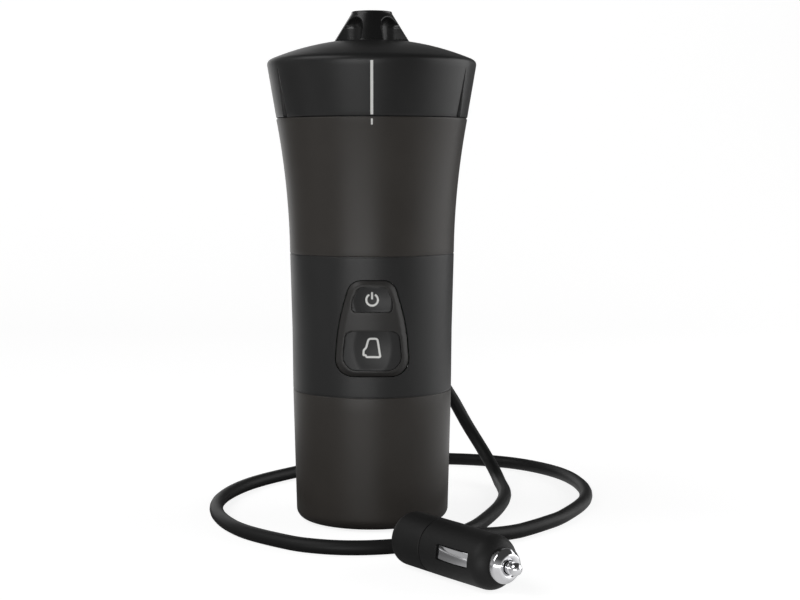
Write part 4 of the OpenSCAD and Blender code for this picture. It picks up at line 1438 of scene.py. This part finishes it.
cap_bm = turned(cap_outline())
cap_bm.transform(ALONG_X)
boot = boot_shape(eased([(0, BOOT_FROM), (BOOT_R, BOOT_FROM), (BOOT_END_R, BOOT_TO, 0.8), (0, BOOT_TO)]))
bore = boot_shape([(0, HOLLOW_FROM), (HOLLOW_R, HOLLOW_FROM), (HOLLOW_R, HOLLOW_TO), (0, HOLLOW_TO)])
cap_mesh = moved(carved("cap", cap_bm, [bore], extra=[boot]), plug_spot)
cap = dress("plug_cap", cap_mesh, plug_skin, "housing", ["plug_rear_cap"], sharp=30)
print("rear cap", size_mm(cap), "mm")

# %% Nut and tip
NUT_R, NUT_H = 6.55, 4.6
PIN_R, BALL_X = 2.4, 7.4
HEAD_X = (-7.2, -5.3)


def nut_outline():
    hole = PIN_R + 0.3
    return eased([(hole, SHANK_X), (SHANK_R, SHANK_X), (SHANK_R, 0), (NUT_R, 0, 0.3),
                  (NUT_R, NUT_H / 2, 0.45), (NUT_R - 1.75, NUT_H, 0.4), (hole + 1, NUT_H, 0.2),
                  (hole, NUT_H - 0.7)])


def tip_outline():
    neck_x, head_r = BALL_X - 1.6, CHAMBER_R - 0.2
    ball = arc(BALL_X, 0, PIN_R, 150, 0, 14)
    return eased([(0, HEAD_X[0]), (head_r, HEAD_X[0]), (head_r, HEAD_X[1]), (PIN_R, HEAD_X[1]),
                  (PIN_R, neck_x - 0.2, 0.3), (PIN_R - 0.55, neck_x, 0.2)]
                 + [(r, x) for x, r in ball[2:-1]] + [(0, BALL_X + PIN_R)])


chrome = FINISHES["chrome"]
nut_bm, tip_bm = [turned(outline, steps=72) for outline in (nut_outline(), tip_outline())]
for bm in (nut_bm, tip_bm):
    bm.transform(plug_spot @ ALONG_X)
nut = place("plug_nut", nut_bm, chrome, "housing", ["plug_ring"])
tip = place("plug_pin", tip_bm, chrome, "tip", ["plug_tip"])
print("nut", size_mm(nut), "tip", size_mm(tip), "mm")

# %% Spring strips
STRIP, STRIP_EDGE, BOW_R = 0.9, 0.25, 55


def strip_shape(side):
    run, wide = (SLOT_X[1] - SLOT_X[0]) / 2 - 0.4, SLOT_W / 2 - 0.3
    middle, steps = (SLOT_X[0] + SLOT_X[1]) / 2, 32
    line = [mix(-run, run, k / steps) for k in range(steps + 1)]
    bow = [(x, BOW_R - math.sqrt(BOW_R**2 - x * x) - NOSE_R) for x in line]
    outline = [(middle + x, y) for x, y in bow] + [(middle + x, y + STRIP) for x, y in reversed(bow)]
    bm = prism(outline, -wide, wide)
    edges = [e for e in bm.edges if e.calc_face_angle(0) > 1]
    bmesh.ops.bevel(bm, geom=edges, offset=STRIP_EDGE * MM, segments=3, affect="EDGES", profile=0.5)
    bm.transform(Matrix.Rotation(math.pi / 2, 4, "X"))
    if side > 0:
        bm.transform(Matrix.Rotation(math.pi, 4, "X"))
    bm.transform(plug_spot @ plug_roll)
    return bm


strips = [place("spring_" + which, strip_shape(side), chrome, "contact_" + which,
                ["plug_contact_" + which]) for which, side in (("near", -1), ("far", 1))]
print("strips", [size_mm(strip) for strip in strips], "mm")

# %% [markdown]
# ## Parts that stay as the frame has them
# The works inside the housing are seen only when the machine is taken apart, and the frame already holds
# their true shapes. They could be rebuilt as well, but nothing would show it, so they keep their shapes and
# only get the finish of their slot.

# %% Finishes of the inner parts
for part in frame["nodes"].values():
    slot = part.data.materials[0].name.split(".")[0]
    part.data.materials[0] = FINISHES[slot]
replaced = {name for piece in scene.objects for name in piece.get("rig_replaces", [])}
print("finished", len(frame["nodes"]) - len(replaced), "nodes of the frame")

# %% [markdown]
# ## Studio
# The photograph is a cut-out on pure white. A pale paper sweep, floor and backdrop in one, carries that
# white for the camera and for reflections, and keeps a soft shadow under the machine: its own glow stops a
# little short of white, and the lamps give the rest. In reflections the glow could be the same everywhere,
# but then the black plastic would mirror white from every side and lose its shape. So there it is full only
# behind the machine and to its left, in a strip beside the machine and from there to just ahead of it, and it
# fades towards the right, the front, the top and a painted shade under the machine. Each pair below says
# where the paper is dark and where it is fully lit, in metres or, for the sides, as a slope seen from the
# camera.

# %% Paper sweep
scene.view_settings.view_transform = "Standard"


def studio_sheet():
    bm = bmesh.new()
    half, front, back, tall, bend = 3.0, -3.0, 1.6, 1.2, 0.8
    line = [(front, 0)] + [(back - bend + bend * math.sin(a), bend - bend * math.cos(a))
                           for a in [math.pi / 2 * k / 16 for k in range(17)]] + [(back, tall)]
    rows = [[bm.verts.new((x, y, z)) for x in (-half, half)] for y, z in line]
    for a, b in zip(rows, rows[1:]):
        bm.faces.new((a[0], a[1], b[1], b[0]))
    mesh = bpy.data.meshes.new("studio_sheet")
    bm.to_mesh(mesh)
    bm.free()
    mesh.shade_smooth()
    return linked("studio_sheet", mesh)


sheet = studio_sheet()
print("paper sweep", len(sheet.data.polygons), "faces")

# %% How the paper glows
PAPER_GLOW = 0.86
MIRROR_GLOW = 0.95
PAPER_TONE = 0.3
LIT_FRONT = (-0.5, -0.18)
LIT_TOP = (1.15, 0.8)
LIT_LEFT = (-0.75, -0.35)
LIT_RIGHT = (0.12, -0.22)
LIT_HOT = 1.2
LIT_BESIDE = ((0.5, 0.1), (-0.1, 0.03))
LIT_AHEAD = (-0.08, -0.14)
# This point is the middle of a painted shade: within LIT_NEAR of it the paper's glow in reflections drops, as
# if the machine's shadow lay there.
PAINTED_SHADE_MIDDLE = (-0.12, 0, 0)
LIT_NEAR = (0.1, 0.3)


def paper_white():
    material = bpy.data.materials.new("studio_white")
    material.use_nodes = True
    tree = material.node_tree
    tree.nodes.clear()
    path = add(tree, "ShaderNodeLightPath").outputs
    spot = add(tree, "ShaderNodeTexCoord").outputs["Object"]
    at = add(tree, "ShaderNodeSeparateXYZ", {0: spot}).outputs
    lean = calc(tree, "DIVIDE", at["X"], calc(tree, "ADD", at["Y"], -EYE[1]))
    reach = add(tree, "ShaderNodeVectorMath", {0: spot, 1: PAINTED_SHADE_MIDDLE}, operation="DISTANCE").outputs["Value"]

    def lit(value, limits, most=1.0):
        return add(tree, "ShaderNodeMapRange", {
            "Value": value, "From Min": limits[0], "From Max": limits[1], "To Max": most},
            interpolation_type="SMOOTHSTEP").outputs[0]

    beside = calc(tree, "MULTIPLY", *[lit(at["Y"], limits) for limits in LIT_BESIDE])
    sides = calc(tree, "MAXIMUM", lit(lean, LIT_RIGHT, LIT_HOT), beside)
    sides = calc(tree, "MULTIPLY", sides, lit(lean, LIT_LEFT))
    fade = calc(tree, "MAXIMUM", sides, lit(at["Y"], LIT_AHEAD))
    mirrored = calc(tree, "MAXIMUM", path["Is Glossy Ray"], path["Is Transmission Ray"])
    for share in (mirrored, lit(at["Y"], LIT_FRONT), lit(at["Z"], LIT_TOP), lit(reach, LIT_NEAR)):
        fade = calc(tree, "MULTIPLY", share, fade)
    seen = calc(tree, "MULTIPLY", path["Is Camera Ray"], PAPER_GLOW)
    glow = calc(tree, "MAXIMUM", seen, calc(tree, "MULTIPLY", fade, MIRROR_GLOW))
    light = add(tree, "ShaderNodeEmission", {"Color": (1, 1, 1, 1), "Strength": glow})
    paint = add(tree, "ShaderNodeBsdfDiffuse", {"Color": (PAPER_TONE, PAPER_TONE, PAPER_TONE, 1)})
    both = add(tree, "ShaderNodeAddShader", {0: light.outputs[0], 1: paint.outputs[0]})
    add(tree, "ShaderNodeOutputMaterial", {"Surface": both.outputs[0]})
    return material


sheet.data.materials.append(paper_white())
sheet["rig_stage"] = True
print("paper with", len(sheet.data.materials[0].node_tree.nodes), "nodes")

# %% [markdown]
# ## Lights
# The shells show a broad even light along their right side, a narrow one on the left edge, and a weak
# soft one left of the middle, with two dark valleys between. A single dome of light would flatten that.
# Large dim boxes stand where each reflection needs one, and the air gives the plain level between them. The
# front one is a low strip, because a tall box would show in the glossy flutes of the spout.

# %% Air
AIR_LOW, AIR_HIGH = 0.48, 0.06
AIR_RISE, AIR_BEHIND = (0.1, 0.7), (0.8, 0.95)
world = bpy.data.worlds.new("studio_air")
scene.world = world
world.use_nodes = True
air = world.node_tree
look = add(air, "ShaderNodeSeparateXYZ", {0: add(air, "ShaderNodeTexCoord").outputs["Generated"]}).outputs
ray = add(air, "ShaderNodeLightPath").outputs
behind = add(air, "ShaderNodeMapRange", {
    "Value": look["Y"], "From Min": AIR_BEHIND[0], "From Max": AIR_BEHIND[1]}).outputs["Result"]
level = add(air, "ShaderNodeMapRange", {
    "Value": look["Z"], "From Min": AIR_RISE[0], "From Max": AIR_RISE[1],
    "To Min": AIR_LOW, "To Max": AIR_HIGH}).outputs["Result"]
mirrored = calc(air, "MAXIMUM", ray["Is Glossy Ray"], ray["Is Transmission Ray"])
white = calc(air, "MAXIMUM", ray["Is Camera Ray"], calc(air, "MULTIPLY", mirrored, behind))
feed(air, air.nodes["Background"], {"Color": (1, 1, 1, 1), "Strength": calc(air, "MAXIMUM", level, white)})
print("air from", AIR_LOW, "at the sides to", AIR_HIGH, "above")

# %% Softboxes
MIDDLE = (0, 0, 0.11)


def softbox(name, angle, away, height, size, glow):
    """A lamp at an angle in degrees from the front towards the right; glow is its radiance."""
    turn = math.radians(angle)
    spot = Vector((math.sin(turn) * away, -math.cos(turn) * away, height))
    lamp = bpy.data.lights.new(name, "AREA")
    lamp.shape = "RECTANGLE"
    lamp.size, lamp.size_y = size
    lamp.energy = glow * math.pi * size[0] * size[1]
    box = linked(name, lamp)
    box.location = spot
    box.rotation_euler = (Vector(MIDDLE) - spot).to_track_quat("-Z", "Y").to_euler()


softbox("right_box", 98, 1.0, 0.3, (1.3, 0.9), 2.0)
softbox("front_box", -16, 1.3, 0.06, (1.0, 0.24), 11.0)
softbox("key_box", -70, 1.2, 1.3, (1.4, 1.1), 2.7)
print("studio with", len(bpy.data.lights), "lights")

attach(cord, "housing")
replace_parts(cord, "cord")

new_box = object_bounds()
for label, box in (("CAD box", cad_box), ("visual box", new_box)):
    print(label, [tuple(round(x, 4) for x in corner) for corner in box])
